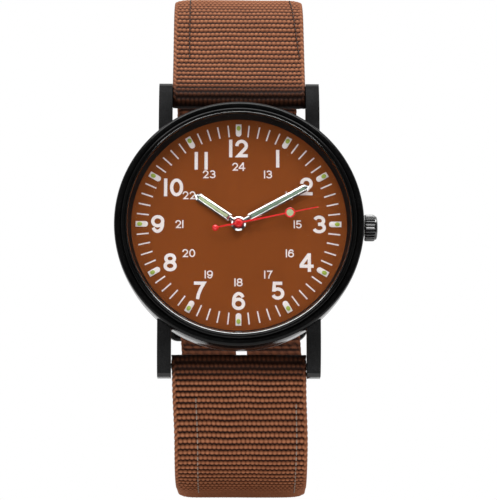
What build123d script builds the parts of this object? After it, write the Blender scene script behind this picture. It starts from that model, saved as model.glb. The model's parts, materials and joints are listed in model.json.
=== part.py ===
from build123d import *
import os
from math import asin, atan2, cos, degrees, pi, radians, sin, sqrt

os.makedirs("parts", exist_ok=True)

# A three-hand field watch on a buckled two-piece strap, in millimetres.
# It stands as it is worn: the dial looks along -Y, twelve o'clock is up (+Z)
# and the crown is on +X. The origin is the middle of the case back's outer
# face. A height is a distance in front of that face, so it lies at y = -height.

# Clearances
slip = 0.02
running = 0.04
overrun = 1.0
half_turn_angle = 180

# Case, seen from the front
case_radius = 20.0
case_wall = 1.95
lug_gap = 22.0
lug_width = 2.2
bar_standoff = 2.5
lug_overhang = 2.0

cavity_radius = case_radius - case_wall
bar_reach = case_radius + bar_standoff
lug_reach = bar_reach + lug_overhang

# Heights, from the case back to the crystal
back_rim = 1.0
back_lip_rise = 0.2
seal_thickness = 0.1
ring_lift = 0.5
ring_height = 4.0
dial_thickness = 0.4
flange_height = 1.4
crystal_gap = 0.08
crystal_thickness = 1.0
neck_height = 1.8

back_top = back_rim + back_lip_rise
wall_foot = back_rim + seal_thickness
ring_foot = back_rim + ring_lift
dial_seat = ring_foot + ring_height
dial_face = dial_seat + dial_thickness
flange_top = dial_face + flange_height
neck_top = flange_top + slip
crystal_foot = neck_top + crystal_gap
crystal_top = crystal_foot + crystal_thickness
wall_top = neck_top - neck_height

# Strap and spring bars
bar_height = 1.6
strap_side_gap = 0.1
strap_width = lug_gap - 2 * strap_side_gap
strap_thickness = 2.0

# Movement
plate_radius = 12.8
plate_thickness = 1.2
motion_room = 1.3
plate_top = dial_seat - motion_room
plate_foot = plate_top - plate_thickness
stem_height = plate_foot + plate_thickness / 2
stem_radius = 0.5


def facing(height, spot=(0, 0)):
    """A plane parallel to the dial: local x is +X, local y is +Z, and it extrudes to the front."""
    return Plane(origin=(spot[0], -height, spot[1]), x_dir=(1, 0, 0), z_dir=(0, -1, 0))


def turning(spot=(0, 0)):
    """The plane of a profile turned about a front-to-back axis: local x is radius, local y height."""
    return Plane(origin=(spot[0], 0, spot[1]), x_dir=(1, 0, 0), z_dir=(0, 0, -1))


def turning_axis(spot=(0, 0)):
    return Axis((spot[0], 0, spot[1]), (0, 1, 0))


def polar(radius, angle):
    """A spot on the dial's plane, by radius and by angle from three o'clock, counter-clockwise."""
    return (radius * cos(radians(angle)), radius * sin(radians(angle)))


def hand_angle(clock):
    """Turns a clockwise angle from twelve o'clock into a counter-clockwise one from three."""
    return 90 - clock


def write(builder, name):
    builder.part.label = name
    export_step(builder.part, f"parts/{name}.step")


def dome_middle(radius, top, rise):
    """The halfway point of a dome's profile, as (radius, height), for a dome centred on its axis."""
    sphere = (radius**2 + rise**2) / (2 * rise)
    return (radius / 2, top - sphere + sqrt(sphere**2 - radius**2 / 4))


# Thin round stock and hidden rings are drawn with a few flats, which keeps the facets down
rod_sides = 12
disc_sides = 24
seal_sides = 48


def rod(radius, sides=rod_sides):
    """A round outline in the open sketch, its corners on the radius."""
    RegularPolygon(radius, sides)


def hole(radius, sides=rod_sides):
    """A round hole in the open sketch, its flats touching the radius."""
    RegularPolygon(radius, sides, major_radius=False, mode=Mode.SUBTRACT)


# Case back: a press-in steel lid with a visible rim
back_rim_inset = 0.05
back_chamfer_run = 1.05
back_chamfer_rise = 0.55
back_rim_radius = case_radius - back_rim_inset
back_face_radius = back_rim_radius - back_chamfer_run
back_lip_radius = cavity_radius - slip

with BuildPart() as case_back:
    with BuildSketch(turning()):
        Polygon(
            (0, 0),
            (back_face_radius, 0),
            (back_rim_radius, back_chamfer_rise),
            (back_rim_radius, back_rim),
            (back_lip_radius, back_rim),
            (back_lip_radius, back_top),
            (0, back_top),
            align=None,
        )
    revolve(axis=turning_axis())
write(case_back, "case_back")

# Case back gasket: a flat ring pinched between the lid and the case wall
seal_inset = 0.3
seal_width = 0.9

with BuildPart() as case_back_gasket:
    with BuildSketch(facing(back_rim)):
        rod(cavity_radius + seal_inset + seal_width, seal_sides)
        hole(cavity_radius + seal_inset, seal_sides)
    extrude(amount=seal_thickness)
write(case_back_gasket, "case_back_gasket")

# Case body: the wall, the neck for the bezel and four straight lugs
neck_wall = 0.3
neck_radius = cavity_radius + neck_wall
lug_root = sqrt((cavity_radius + slip) ** 2 - (lug_gap / 2) ** 2)
lug_front_root = wall_top - 0.1 * neck_height
lug_bend_inset = 2.5
lug_bend = case_radius - lug_bend_inset
lug_tip_front = 3.6
lug_tip_back = 0.4
lug_corner = 0.5
bar_hole_radius = 0.5
bar_hole_depth = 1.3
tube_radius = 1.1

with BuildPart() as case_body:
    with BuildSketch(turning()):
        Polygon(
            (cavity_radius, wall_foot),
            (case_radius, wall_foot),
            (case_radius, wall_top),
            (neck_radius, wall_top),
            (neck_radius, neck_top),
            (cavity_radius, neck_top),
            align=None,
        )
    revolve(axis=turning_axis())
    for side in (-1, 1):
        with BuildSketch(Plane.YZ.offset(side * lug_gap / 2)):
            for end in (-1, 1):
                with BuildLine():
                    Polyline(
                        (-lug_front_root, end * lug_bend),
                        (-lug_front_root, end * lug_root),
                        (-wall_foot, end * lug_root),
                        (-wall_foot, end * case_radius),
                        (-lug_tip_back, end * (lug_reach - lug_corner)),
                        (-lug_tip_back - lug_corner, end * lug_reach),
                        (-lug_tip_front + lug_corner, end * lug_reach),
                        (-lug_tip_front, end * (lug_reach - lug_corner)),
                    )
                    ThreePointArc(
                        (-lug_tip_front, end * (lug_reach - lug_corner)),
                        (
                            -lug_front_root + 0.25 * (lug_front_root - lug_tip_front),
                            end * (lug_bend + lug_reach) / 2,
                        ),
                        (-lug_front_root, end * lug_bend),
                    )
                make_face()
        extrude(amount=side * lug_width)
    with BuildSketch(Plane.YZ):
        with Locations((-bar_height, -bar_reach), (-bar_height, bar_reach)):
            rod(bar_hole_radius)
    extrude(amount=lug_gap / 2 + bar_hole_depth, both=True, mode=Mode.SUBTRACT)
    with BuildSketch(Plane.YZ.offset((cavity_radius + case_radius) / 2)):
        with Locations((-stem_height, 0)):
            rod(tube_radius + 2 * slip)
    extrude(amount=case_radius - cavity_radius, both=True, mode=Mode.SUBTRACT)
write(case_body, "case_body")

# Bezel: two rounded ridges with a groove between them, pressed over the neck
bezel_overhang = 0.25
bezel_radius = case_radius + bezel_overhang
bezel_bore = neck_radius + slip
outer_ridge_radius = 0.65
outer_ridge_centre = (bezel_radius - outer_ridge_radius, neck_top)
inner_ridge_radius = 0.35
inner_ridge_centre = (bezel_bore + inner_ridge_radius, crystal_top - 1.15 * inner_ridge_radius)
ridge_step_angle = 48
groove_angle = 3 * ridge_step_angle
groove_height = outer_ridge_centre[1] + outer_ridge_radius * sin(radians(groove_angle))
inner_angle = degrees(asin((groove_height - inner_ridge_centre[1]) / inner_ridge_radius))


def ridge(centre, radius, first, last):
    """Points on a ridge's round, from one angle to another, a few steps apart."""
    steps = round((last - first) / ridge_step_angle)
    turns = [radians(first + (last - first) * step / steps) for step in range(steps + 1)]
    return [(centre[0] + radius * cos(turn), centre[1] + radius * sin(turn)) for turn in turns]


with BuildPart() as bezel:
    with BuildSketch(turning()):
        Polygon(
            (bezel_bore, wall_top),
            (bezel_radius, wall_top),
            *ridge(outer_ridge_centre, outer_ridge_radius, 0, groove_angle),
            *ridge(inner_ridge_centre, inner_ridge_radius, inner_angle, half_turn_angle),
            align=None,
        )
    revolve(axis=turning_axis())
write(bezel, "bezel")

# Crystal and the gasket sleeve that grips its edge
crystal_inset = 0.25
crystal_radius = neck_radius - crystal_inset
crystal_bevel = 0.2

with BuildPart() as crystal:
    with BuildSketch(turning()):
        Polygon(
            (0, crystal_foot),
            (crystal_radius, crystal_foot),
            (crystal_radius, crystal_top - crystal_bevel),
            (crystal_radius - crystal_bevel, crystal_top),
            (0, crystal_top),
            align=None,
        )
    revolve(axis=turning_axis())
write(crystal, "crystal")

with BuildPart() as crystal_gasket:
    with BuildSketch(facing(neck_top)):
        rod(bezel_bore - slip, seal_sides)
        hole(crystal_radius + slip, seal_sides)
    extrude(amount=crystal_top - crystal_bevel - neck_top)
write(crystal_gasket, "crystal_gasket")

# Dial flange: the sloping ring between the dial and the crystal
flange_width = 0.53
flange_outer = cavity_radius - slip
flange_inner = flange_outer - flange_width

with BuildPart() as dial_flange:
    with BuildSketch(turning()):
        Polygon(
            (flange_inner, dial_face),
            (flange_outer, dial_face),
            (flange_outer, flange_top),
            align=None,
        )
    revolve(axis=turning_axis())
write(dial_flange, "dial_flange")

# Dial, pinched between the flange and the movement ring, and its applied hour markers
dial_radius = cavity_radius - slip
dial_bore = 1.1

with BuildPart() as dial:
    with BuildSketch(facing(dial_seat)):
        Circle(dial_radius)
        hole(dial_bore)
    extrude(amount=dial_thickness)
write(dial, "dial")

hours = 12
marker_edge_gap = 1.13
marker_outer = dial_radius - marker_edge_gap
marker_length = 2.1
marker_width = 0.95
marker_thickness = 0.12
marker_round = marker_width / 2 * cos(radians(30))
marker_inner = marker_outer - marker_length + marker_round
pip_radius = 0.36
pip_inset = 0.6
pip_reach = marker_outer - pip_inset
pip_thickness = 0.06

with BuildPart() as hour_marker_plates:
    with BuildSketch(facing(dial_face)):
        with PolarLocations(0, hours):
            Polygon(
                (marker_outer, -marker_width / 2),
                (marker_outer, marker_width / 2),
                (marker_inner, marker_width / 2),
                (marker_inner - marker_round, marker_width / 4),
                (marker_inner - marker_round, -marker_width / 4),
                (marker_inner, -marker_width / 2),
                align=None,
            )
    extrude(amount=marker_thickness)
write(hour_marker_plates, "hour_marker_plates")

with BuildPart() as hour_marker_pips:
    with BuildSketch(facing(dial_face + marker_thickness)):
        with PolarLocations(pip_reach, hours):
            rod(pip_radius)
    extrude(amount=pip_thickness)
write(hour_marker_pips, "hour_marker_pips")

# Wheel train: six-leaf pinions drive the wheels from the rotor to the centre
arbor_radius = 0.14
pivot_depth = 0.35
wheel_thickness = 0.15
layer_pitch = 0.2
train_gap = 0.2
bridge_thickness = 0.4
bridge_gap = 0.1
tooth_height_share = 1.0
tooth_depth_share = 1.2

rotor_leaves, step_teeth, step_module = 6, 36, 0.1
step_leaves, second_teeth, second_module = 6, 30, 0.12
second_leaves, third_teeth, third_module = 6, 45, 0.11
third_leaves, centre_teeth = 6, 48
cannon_teeth, minute_teeth, minute_module = 12, 36, 0.125
minute_leaves, hour_teeth = 10, 40

step_reach = (step_leaves + second_teeth) * second_module / 2
rotor_reach = (rotor_leaves + step_teeth) * step_module / 2
third_reach = (second_leaves + third_teeth) * third_module / 2
centre_module = 2 * third_reach / (third_leaves + centre_teeth)
motion_reach = (cannon_teeth + minute_teeth) * minute_module / 2
hour_module = 2 * motion_reach / (minute_leaves + hour_teeth)

step_wheel_angle = 100
rotor_side_angle = 75
third_wheel_angle = -45
minute_wheel_angle = -30
step_spot = polar(step_reach, step_wheel_angle)
rotor_turn = polar(rotor_reach, rotor_side_angle)
rotor_spot = (step_spot[0] + rotor_turn[0], step_spot[1] + rotor_turn[1])
third_spot = polar(third_reach, third_wheel_angle)
minute_spot = polar(motion_reach, minute_wheel_angle)


train_layers = 3


def layer(number):
    """The height of a wheel's back face in the train, layer 3 lying next to the main plate."""
    return plate_foot - train_gap - wheel_thickness - (train_layers - number) * layer_pitch


bridge_top = layer(0) - bridge_gap
bridge_foot = bridge_top - bridge_thickness


def toothed(teeth, module, toward, gap):
    """An outline of pointed teeth, with a tooth (or, if gap, a space) on the line towards another wheel."""
    pitch = 2 * pi / teeth
    start = radians(toward) + (pitch / 2 if gap else 0)
    pitch_radius = teeth * module / 2
    root = pitch_radius - tooth_depth_share * module
    tip = pitch_radius + tooth_height_share * module
    points = []
    for tooth in range(teeth):
        angle = start + tooth * pitch
        points.append((root * cos(angle - pitch / 2), root * sin(angle - pitch / 2)))
        points.append((tip * cos(angle), tip * sin(angle)))
    Polygon(*points, align=None)


magnet_radius = 0.6
magnet_height = 0.5

with BuildPart() as rotor:
    with BuildSketch(facing(layer(0), rotor_spot)):
        toothed(rotor_leaves, step_module, rotor_side_angle + half_turn_angle, gap=False)
    extrude(amount=wheel_thickness)
    with BuildSketch(facing(layer(0) + layer_pitch, rotor_spot)):
        rod(magnet_radius)
    extrude(amount=magnet_height)
    with BuildSketch(facing(bridge_top - bridge_thickness / 2, rotor_spot)):
        rod(arbor_radius)
    extrude(amount=plate_foot + pivot_depth - running - bridge_top + bridge_thickness / 2)
write(rotor, "rotor")

with BuildPart() as step_wheel:
    with BuildSketch(facing(layer(0), step_spot)):
        toothed(step_teeth, step_module, rotor_side_angle, gap=True)
    extrude(amount=wheel_thickness)
    with BuildSketch(facing(layer(1), step_spot)):
        toothed(step_leaves, second_module, step_wheel_angle + half_turn_angle, gap=False)
    extrude(amount=wheel_thickness)
    with BuildSketch(facing(bridge_top - bridge_thickness / 2, step_spot)):
        rod(arbor_radius)
    extrude(amount=plate_foot + pivot_depth - running - bridge_top + bridge_thickness / 2)
write(step_wheel, "step_wheel")

with BuildPart() as third_wheel:
    with BuildSketch(facing(layer(2), third_spot)):
        toothed(third_teeth, third_module, third_wheel_angle + half_turn_angle, gap=True)
    extrude(amount=wheel_thickness)
    with BuildSketch(facing(layer(3), third_spot)):
        toothed(third_leaves, centre_module, third_wheel_angle + half_turn_angle, gap=False)
    extrude(amount=wheel_thickness)
    with BuildSketch(facing(bridge_top - bridge_thickness / 2, third_spot)):
        rod(arbor_radius)
    extrude(amount=plate_foot + pivot_depth - running - bridge_top + bridge_thickness / 2)
write(third_wheel, "third_wheel")

# Hand heights, above the dial
hand_lift = 0.25
hand_thickness = 0.2
hand_gap = 0.15
hour_hand_foot = dial_face + hand_lift
minute_hand_foot = hour_hand_foot + hand_thickness + hand_gap
second_hand_foot = minute_hand_foot + hand_thickness + hand_gap

# Second wheel: its arbor runs through the hollow centre wheel up to the second hand
with BuildPart() as second_wheel:
    with BuildSketch(facing(layer(1))):
        toothed(second_teeth, second_module, step_wheel_angle, gap=True)
    extrude(amount=wheel_thickness)
    with BuildSketch(facing(layer(2))):
        toothed(second_leaves, third_module, third_wheel_angle, gap=False)
    extrude(amount=wheel_thickness)
    with BuildSketch(facing(bridge_top - bridge_thickness / 2)):
        rod(arbor_radius)
    extrude(amount=second_hand_foot + hand_thickness - bridge_top + bridge_thickness / 2)
write(second_wheel, "second_wheel")

# Centre wheel and the cannon pinion that grips its hollow arbor
centre_bore = arbor_radius + running
centre_wall = 0.22
centre_radius = centre_bore + centre_wall
cannon_radius = 0.58
motion_lift = 0.07
cannon_thickness = 0.24
hour_layer_gap = 0.08
cannon_foot = plate_top + motion_lift
hour_wheel_foot = cannon_foot + cannon_thickness + hour_layer_gap

with BuildPart() as centre_wheel:
    with BuildSketch(facing(layer(3))):
        toothed(centre_teeth, centre_module, third_wheel_angle, gap=True)
    extrude(amount=wheel_thickness)
    with BuildSketch(facing(layer(3))):
        rod(centre_radius)
    extrude(amount=minute_hand_foot + hand_thickness - layer(3))
    with BuildSketch(facing(layer(3))):
        rod(centre_bore)
    extrude(amount=minute_hand_foot + hand_thickness - layer(3), mode=Mode.SUBTRACT)
write(centre_wheel, "centre_wheel")

with BuildPart() as cannon_pinion:
    with BuildSketch(facing(cannon_foot)):
        toothed(cannon_teeth, minute_module, minute_wheel_angle, gap=False)
    extrude(amount=cannon_thickness)
    with BuildSketch(facing(cannon_foot)):
        rod(cannon_radius)
    extrude(amount=minute_hand_foot + hand_thickness - cannon_foot)
    with BuildSketch(facing(cannon_foot)):
        rod(centre_radius + slip)
    extrude(amount=minute_hand_foot + hand_thickness - cannon_foot, mode=Mode.SUBTRACT)
write(cannon_pinion, "cannon_pinion")

# Minute wheel on its stud, and the hour wheel around the cannon pinion
stud_radius = 0.3
minute_pinion_thickness = 0.32
hour_wheel_thickness = 0.2
hour_tube_wall = 0.2
hour_tube_bore = cannon_radius + running
hour_tube_radius = hour_tube_bore + hour_tube_wall

with BuildPart() as minute_wheel:
    with BuildSketch(facing(cannon_foot, minute_spot)):
        toothed(minute_teeth, minute_module, minute_wheel_angle + half_turn_angle, gap=True)
    extrude(amount=cannon_thickness)
    with BuildSketch(facing(cannon_foot + cannon_thickness, minute_spot)):
        toothed(minute_leaves, hour_module, minute_wheel_angle + half_turn_angle, gap=False)
    extrude(amount=minute_pinion_thickness)
    with BuildSketch(facing(cannon_foot, minute_spot)):
        rod(stud_radius + running)
    extrude(amount=cannon_thickness + minute_pinion_thickness, mode=Mode.SUBTRACT)
write(minute_wheel, "minute_wheel")

with BuildPart() as hour_wheel:
    with BuildSketch(facing(hour_wheel_foot)):
        toothed(hour_teeth, hour_module, minute_wheel_angle, gap=True)
    extrude(amount=hour_wheel_thickness)
    with BuildSketch(facing(hour_wheel_foot)):
        rod(hour_tube_radius)
    extrude(amount=hour_hand_foot + hand_thickness - hour_wheel_foot)
    with BuildSketch(facing(hour_wheel_foot)):
        rod(hour_tube_bore)
    extrude(amount=hour_hand_foot + hand_thickness - hour_wheel_foot, mode=Mode.SUBTRACT)
write(hour_wheel, "hour_wheel")

# Dial washer: it keeps the hour wheel down
washer_inner = hour_tube_radius + running
washer_outer = 1.9
washer_thickness = 0.08
with BuildPart() as dial_washer:
    with BuildSketch(facing(dial_seat - slip - washer_thickness)):
        rod(washer_outer, disc_sides)
        hole(washer_inner)
    extrude(amount=washer_thickness)
write(dial_washer, "dial_washer")

# Hands: bevelled batons with a luminous window
hour_clock_angle, minute_clock_angle, second_clock_angle = 304.2, 61.4, 78.2
hand_bevel = 0.1
lume_gap = 0.02
lume_margin = 0.9
hour_tip_gap = 9.43
minute_tip_gap = 4.93
hour_hub_radius = 1.35
hour_hand_length = dial_radius - hour_tip_gap
hour_hand_width = 1.25
hour_neck_width = 0.6
hour_neck_end = 1.9
hour_lume_start = 2.6
hour_lume_end = hour_hand_length - lume_margin
hour_lume_width = 0.62
minute_hub_radius = 1.2
minute_hand_length = dial_radius - minute_tip_gap
minute_hand_width = 1.15
minute_neck_width = 0.55
minute_neck_end = 2.3
minute_lume_start = 3.0
minute_lume_end = minute_hand_length - lume_margin
minute_lume_width = 0.58


def baton(clock, hub, length, width, neck_width, neck_end):
    """A hand's outline from above: hub, narrow neck, parallel blade and pencil tip."""
    shoulder = neck_end + (width - neck_width) / 2
    with Locations(Rotation(0, 0, hand_angle(clock))):
        Circle(hub)
        Polygon(
            (0, -neck_width / 2),
            (neck_end, -neck_width / 2),
            (shoulder, -width / 2),
            (length - width / 2, -width / 2),
            (length, 0),
            (length - width / 2, width / 2),
            (shoulder, width / 2),
            (neck_end, neck_width / 2),
            (0, neck_width / 2),
            align=None,
        )


def window(clock, start, end, width):
    """The pointed luminous window in a hand's blade."""
    with Locations(Rotation(0, 0, hand_angle(clock))):
        Polygon(
            (start, -width / 2),
            (end - width / 2, -width / 2),
            (end, 0),
            (end - width / 2, width / 2),
            (start, width / 2),
            align=None,
        )


with BuildPart() as hour_hand:
    with BuildSketch(facing(hour_hand_foot)):
        baton(
            hour_clock_angle,
            hour_hub_radius,
            hour_hand_length,
            hour_hand_width,
            hour_neck_width,
            hour_neck_end,
        )
    extrude(amount=hand_thickness)
    chamfer(hour_hand.faces().sort_by(Axis.Y)[0].edges(), hand_bevel)
    with BuildSketch(facing(hour_hand_foot)):
        rod(hour_tube_radius + slip)
        window(hour_clock_angle, hour_lume_start, hour_lume_end, hour_lume_width)
    extrude(amount=hand_thickness, mode=Mode.SUBTRACT)
write(hour_hand, "hour_hand")

with BuildPart() as hour_hand_lume:
    with BuildSketch(facing(hour_hand_foot)):
        window(
            hour_clock_angle,
            hour_lume_start + lume_gap,
            hour_lume_end - 2 * lume_gap,
            hour_lume_width - 2 * lume_gap,
        )
    extrude(amount=hand_thickness)
write(hour_hand_lume, "hour_hand_lume")

with BuildPart() as minute_hand:
    with BuildSketch(facing(minute_hand_foot)):
        baton(
            minute_clock_angle,
            minute_hub_radius,
            minute_hand_length,
            minute_hand_width,
            minute_neck_width,
            minute_neck_end,
        )
    extrude(amount=hand_thickness)
    chamfer(minute_hand.faces().sort_by(Axis.Y)[0].edges(), hand_bevel)
    with BuildSketch(facing(minute_hand_foot)):
        rod(cannon_radius + slip)
        window(minute_clock_angle, minute_lume_start, minute_lume_end, minute_lume_width)
    extrude(amount=hand_thickness, mode=Mode.SUBTRACT)
write(minute_hand, "minute_hand")

with BuildPart() as minute_hand_lume:
    with BuildSketch(facing(minute_hand_foot)):
        window(
            minute_clock_angle,
            minute_lume_start + lume_gap,
            minute_lume_end - 2 * lume_gap,
            minute_lume_width - 2 * lume_gap,
        )
    extrude(amount=hand_thickness)
write(minute_hand_lume, "minute_hand_lume")

# Second hand: a thin needle with a luminous disc and a round counterweight
second_tip_gap = 4.83
second_hand_length = dial_radius - second_tip_gap
second_root_width = 0.34
second_tip_width = 0.2
second_tail_length = 3.85
second_tail_width = 0.3
counterweight_radius = 0.52
disc_reach = 8.5
disc_radius = 0.86
disc_lume_radius = 0.57
cap_radius = 0.7
cap_rise = 0.18
second_thickness = 0.15
cap_foot = second_hand_foot - hand_gap / 2
cap_edge = second_hand_foot + hand_thickness
cap_top = cap_edge + cap_rise

with BuildPart() as second_hand:
    with BuildSketch(facing(second_hand_foot)):
        with Locations(Rotation(0, 0, hand_angle(second_clock_angle))):
            Polygon(
                (-second_tail_length, -second_tail_width / 2),
                (0, -second_root_width / 2),
                (second_hand_length, -second_tip_width / 2),
                (second_hand_length, second_tip_width / 2),
                (0, second_root_width / 2),
                (-second_tail_length, second_tail_width / 2),
                align=None,
            )
        with Locations(polar(-second_tail_length, hand_angle(second_clock_angle))):
            rod(counterweight_radius, disc_sides)
        with Locations(polar(disc_reach, hand_angle(second_clock_angle))):
            rod(disc_radius, disc_sides)
            hole(disc_lume_radius, disc_sides)
    extrude(amount=second_thickness)
    with BuildSketch(turning()):
        Polygon(
            (0, cap_top),
            (0, cap_foot),
            (cap_radius, cap_foot),
            (cap_radius, cap_edge),
            dome_middle(cap_radius, cap_top, cap_rise),
            align=None,
        )
    revolve(axis=turning_axis())
    with BuildSketch(facing(cap_foot)):
        rod(arbor_radius + slip)
    extrude(amount=second_hand_foot + hand_thickness - cap_foot, mode=Mode.SUBTRACT)
write(second_hand, "second_hand")

with BuildPart() as second_hand_lume:
    with BuildSketch(facing(second_hand_foot)):
        with Locations(polar(disc_reach, hand_angle(second_clock_angle))):
            rod(disc_lume_radius - lume_gap, disc_sides)
    extrude(amount=second_thickness)
write(second_hand_lume, "second_hand_lume")

# Main plate: it carries the train, the stem, the battery and the studs of the motion work
battery_reach = 7.5
battery_angle = 222
battery_spot = polar(battery_reach, battery_angle)
battery_radius = 4.75
battery_height = 2.1
battery_lift = 0.2
battery_foot = back_top + battery_lift
battery_room = 0.1
channel_start = 3.9
channel_room = 0.15
channel_half = stem_radius + channel_room
setting_pinion_start = 5.0
setting_pinion_length = 1.2
setting_leaves = 10
setting_module = 0.15
crown_travel = 1.0
lever_reach, lever_drop = 9.4, 2.4
lever_pivot = (lever_reach, -lever_drop)
lever_stud_radius = 0.3
lever_stud_height = 0.35
post_radius = 0.9
left_post_reach, left_post_rise = 3.6, 2.9
right_post_reach, right_post_rise = 6.4, 2.4
low_post_reach, low_post_drop = 3.6, 5.4
post_spots = [
    (-left_post_reach, left_post_rise),
    (right_post_reach, right_post_rise),
    (low_post_reach, -low_post_drop),
]
stud_height = cannon_thickness + minute_pinion_thickness + motion_lift
pinion_channel_half = (setting_leaves / 2 + tooth_height_share) * setting_module + channel_room
pinion_channel_length = setting_pinion_length + crown_travel + 4 * channel_room
channel_reach = (channel_start + plate_radius + overrun) / 2

with BuildPart() as main_plate:
    with BuildSketch(facing(plate_foot)):
        Circle(plate_radius)
        hole(centre_radius + running)
        with Locations(battery_spot):
            Circle(battery_radius + battery_room, mode=Mode.SUBTRACT)
        with Locations((channel_reach, 0)):
            Rectangle(plate_radius + overrun - channel_start, 2 * channel_half, mode=Mode.SUBTRACT)
        with Locations((setting_pinion_start + (setting_pinion_length + crown_travel) / 2, 0)):
            Rectangle(pinion_channel_length, 2 * pinion_channel_half, mode=Mode.SUBTRACT)
    extrude(amount=plate_thickness)
    with BuildSketch(facing(plate_top)):
        with Locations(minute_spot):
            rod(stud_radius)
    extrude(amount=stud_height)
    with BuildSketch(facing(plate_top)):
        with Locations(lever_pivot):
            rod(lever_stud_radius)
    extrude(amount=lever_stud_height)
    with BuildSketch(facing(bridge_top)):
        with Locations(*post_spots):
            rod(post_radius)
    extrude(amount=plate_foot - bridge_top)
    with BuildSketch(facing(plate_foot)):
        with Locations(rotor_spot, step_spot, third_spot):
            rod(arbor_radius + 2 * running)
    extrude(amount=pivot_depth, mode=Mode.SUBTRACT)
write(main_plate, "main_plate")

# Train bridge: one plate over the back of the train, on three posts
with BuildPart() as train_bridge:
    with BuildSketch(facing(bridge_foot)):
        with Locations(*post_spots, (rotor_spot[0], rotor_spot[1] + 2 * post_radius)):
            rod(post_radius)
        make_hull()
        with Locations((0, 0), rotor_spot, step_spot, third_spot):
            hole(arbor_radius + running)
    extrude(amount=bridge_thickness)
write(train_bridge, "train_bridge")

# Battery, a button cell with a stepped rim, and its spring clamp
cell_step_width = 0.5
cell_step_height = 0.3
clamp_thickness = 0.12
clamp_width = 2.4
clamp_gap = 0.03

with BuildPart() as battery:
    with BuildSketch(turning(battery_spot)):
        Polygon(
            (0, battery_foot),
            (battery_radius, battery_foot),
            (battery_radius, battery_foot + battery_height - cell_step_height),
            (battery_radius - cell_step_width, battery_foot + battery_height),
            (0, battery_foot + battery_height),
            align=None,
        )
    revolve(axis=turning_axis(battery_spot))
write(battery, "battery")

clamp_tab = (post_spots[2][0] - battery_spot[0], post_spots[2][1] - battery_spot[1])
clamp_angle = degrees(atan2(clamp_tab[1], clamp_tab[0]))
clamp_reach = sqrt(clamp_tab[0] ** 2 + clamp_tab[1] ** 2)
with BuildPart() as battery_clamp:
    with BuildSketch(facing(battery_foot - clamp_gap - clamp_thickness, battery_spot)):
        with Locations(Rotation(0, 0, clamp_angle)):
            with Locations(((clamp_reach - battery_radius) / 2, 0)):
                Rectangle(clamp_reach + battery_radius, clamp_width)
    extrude(amount=clamp_thickness)
write(battery_clamp, "battery_clamp")

# Stepping motor: stator plate with the rotor's hole, coil core and winding
stator_thickness = 0.25
stator_left, stator_right = -2.4, 5.8
stator_low, stator_high = 3.2, 5.1
stator_arm = 1.2
stator_reach = 9.8
stator_room = 0.15
stator_hole = magnet_radius + stator_room
stator_foot = layer(0) + layer_pitch
core_width = 1.2
coil_radius = 0.85
coil_end_gap = 0.2

with BuildPart() as stator:
    with BuildSketch(facing(stator_foot)):
        Polygon(
            (stator_left, stator_low),
            (stator_right, stator_low),
            (stator_right, stator_reach),
            (stator_right - stator_arm, stator_reach),
            (stator_right - stator_arm, stator_high),
            (stator_left + stator_arm, stator_high),
            (stator_left + stator_arm, stator_reach),
            (stator_left, stator_reach),
            align=None,
        )
        with Locations(rotor_spot):
            hole(stator_hole)
    extrude(amount=stator_thickness)
write(stator, "stator")

core_middle = ((stator_left + stator_right) / 2, stator_reach - core_width / 2)
core_length = stator_right - stator_left
with BuildPart() as coil_core:
    with BuildSketch(facing(stator_foot - stator_thickness)):
        with Locations(core_middle):
            Rectangle(core_length, core_width)
    extrude(amount=stator_thickness)
write(coil_core, "coil_core")

coil_length = core_length - 2 * stator_arm - 2 * coil_end_gap
coil_height = stator_foot - stator_thickness / 2
with BuildPart() as coil:
    with BuildSketch(Plane.YZ.offset(core_middle[0])):
        with Locations((-coil_height, core_middle[1])):
            rod(coil_radius, disc_sides)
    extrude(amount=coil_length / 2, both=True)
    with BuildSketch(facing(stator_foot - stator_thickness - slip)):
        with Locations(core_middle):
            Rectangle(core_length, core_width + 2 * slip)
    extrude(amount=stator_thickness + 2 * slip, mode=Mode.SUBTRACT)
write(coil, "coil")

# Circuit board with the quartz crystal's can, on the back of the main plate
board_thickness = 0.3
board_left, board_right = -11.0, -4.9
board_low, board_high = 0.5, 6.2
board_corner = 2.2
can_radius = 0.7
can_length = 4.2
can_side_gap = 0.4

with BuildPart() as circuit_board:
    with BuildSketch(facing(plate_foot - board_thickness)):
        Polygon(
            (board_left, board_low),
            (board_right, board_low),
            (board_right, board_high),
            (board_left + board_corner, board_high),
            (board_left, board_high - board_corner),
            align=None,
        )
    extrude(amount=board_thickness)
write(circuit_board, "circuit_board")

can_middle = ((board_left + board_right) / 2, (board_low + board_high) / 2 + can_side_gap)
with BuildPart() as quartz_can:
    with BuildSketch(Plane.YZ.offset(can_middle[0])):
        with Locations((board_thickness + can_radius - plate_foot, can_middle[1])):
            rod(can_radius)
    extrude(amount=can_length / 2, both=True)
write(quartz_can, "quartz_can")

# Movement ring: a plastic spacer between the plate and the case, with the stem's passage
ring_outer = cavity_radius - 5 * slip
ring_inner = plate_radius + running
passage_room = 0.3
passage_radius = stem_radius + passage_room

with BuildPart() as movement_ring:
    with BuildSketch(facing(ring_foot)):
        rod(ring_outer, disc_sides)
        hole(ring_inner, disc_sides)
    extrude(amount=ring_height)
    with BuildSketch(Plane.YZ.offset((ring_inner + ring_outer) / 2)):
        with Locations((-stem_height, 0)):
            rod(passage_radius)
    extrude(amount=ring_outer - ring_inner, both=True, mode=Mode.SUBTRACT)
write(movement_ring, "movement_ring")

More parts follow.
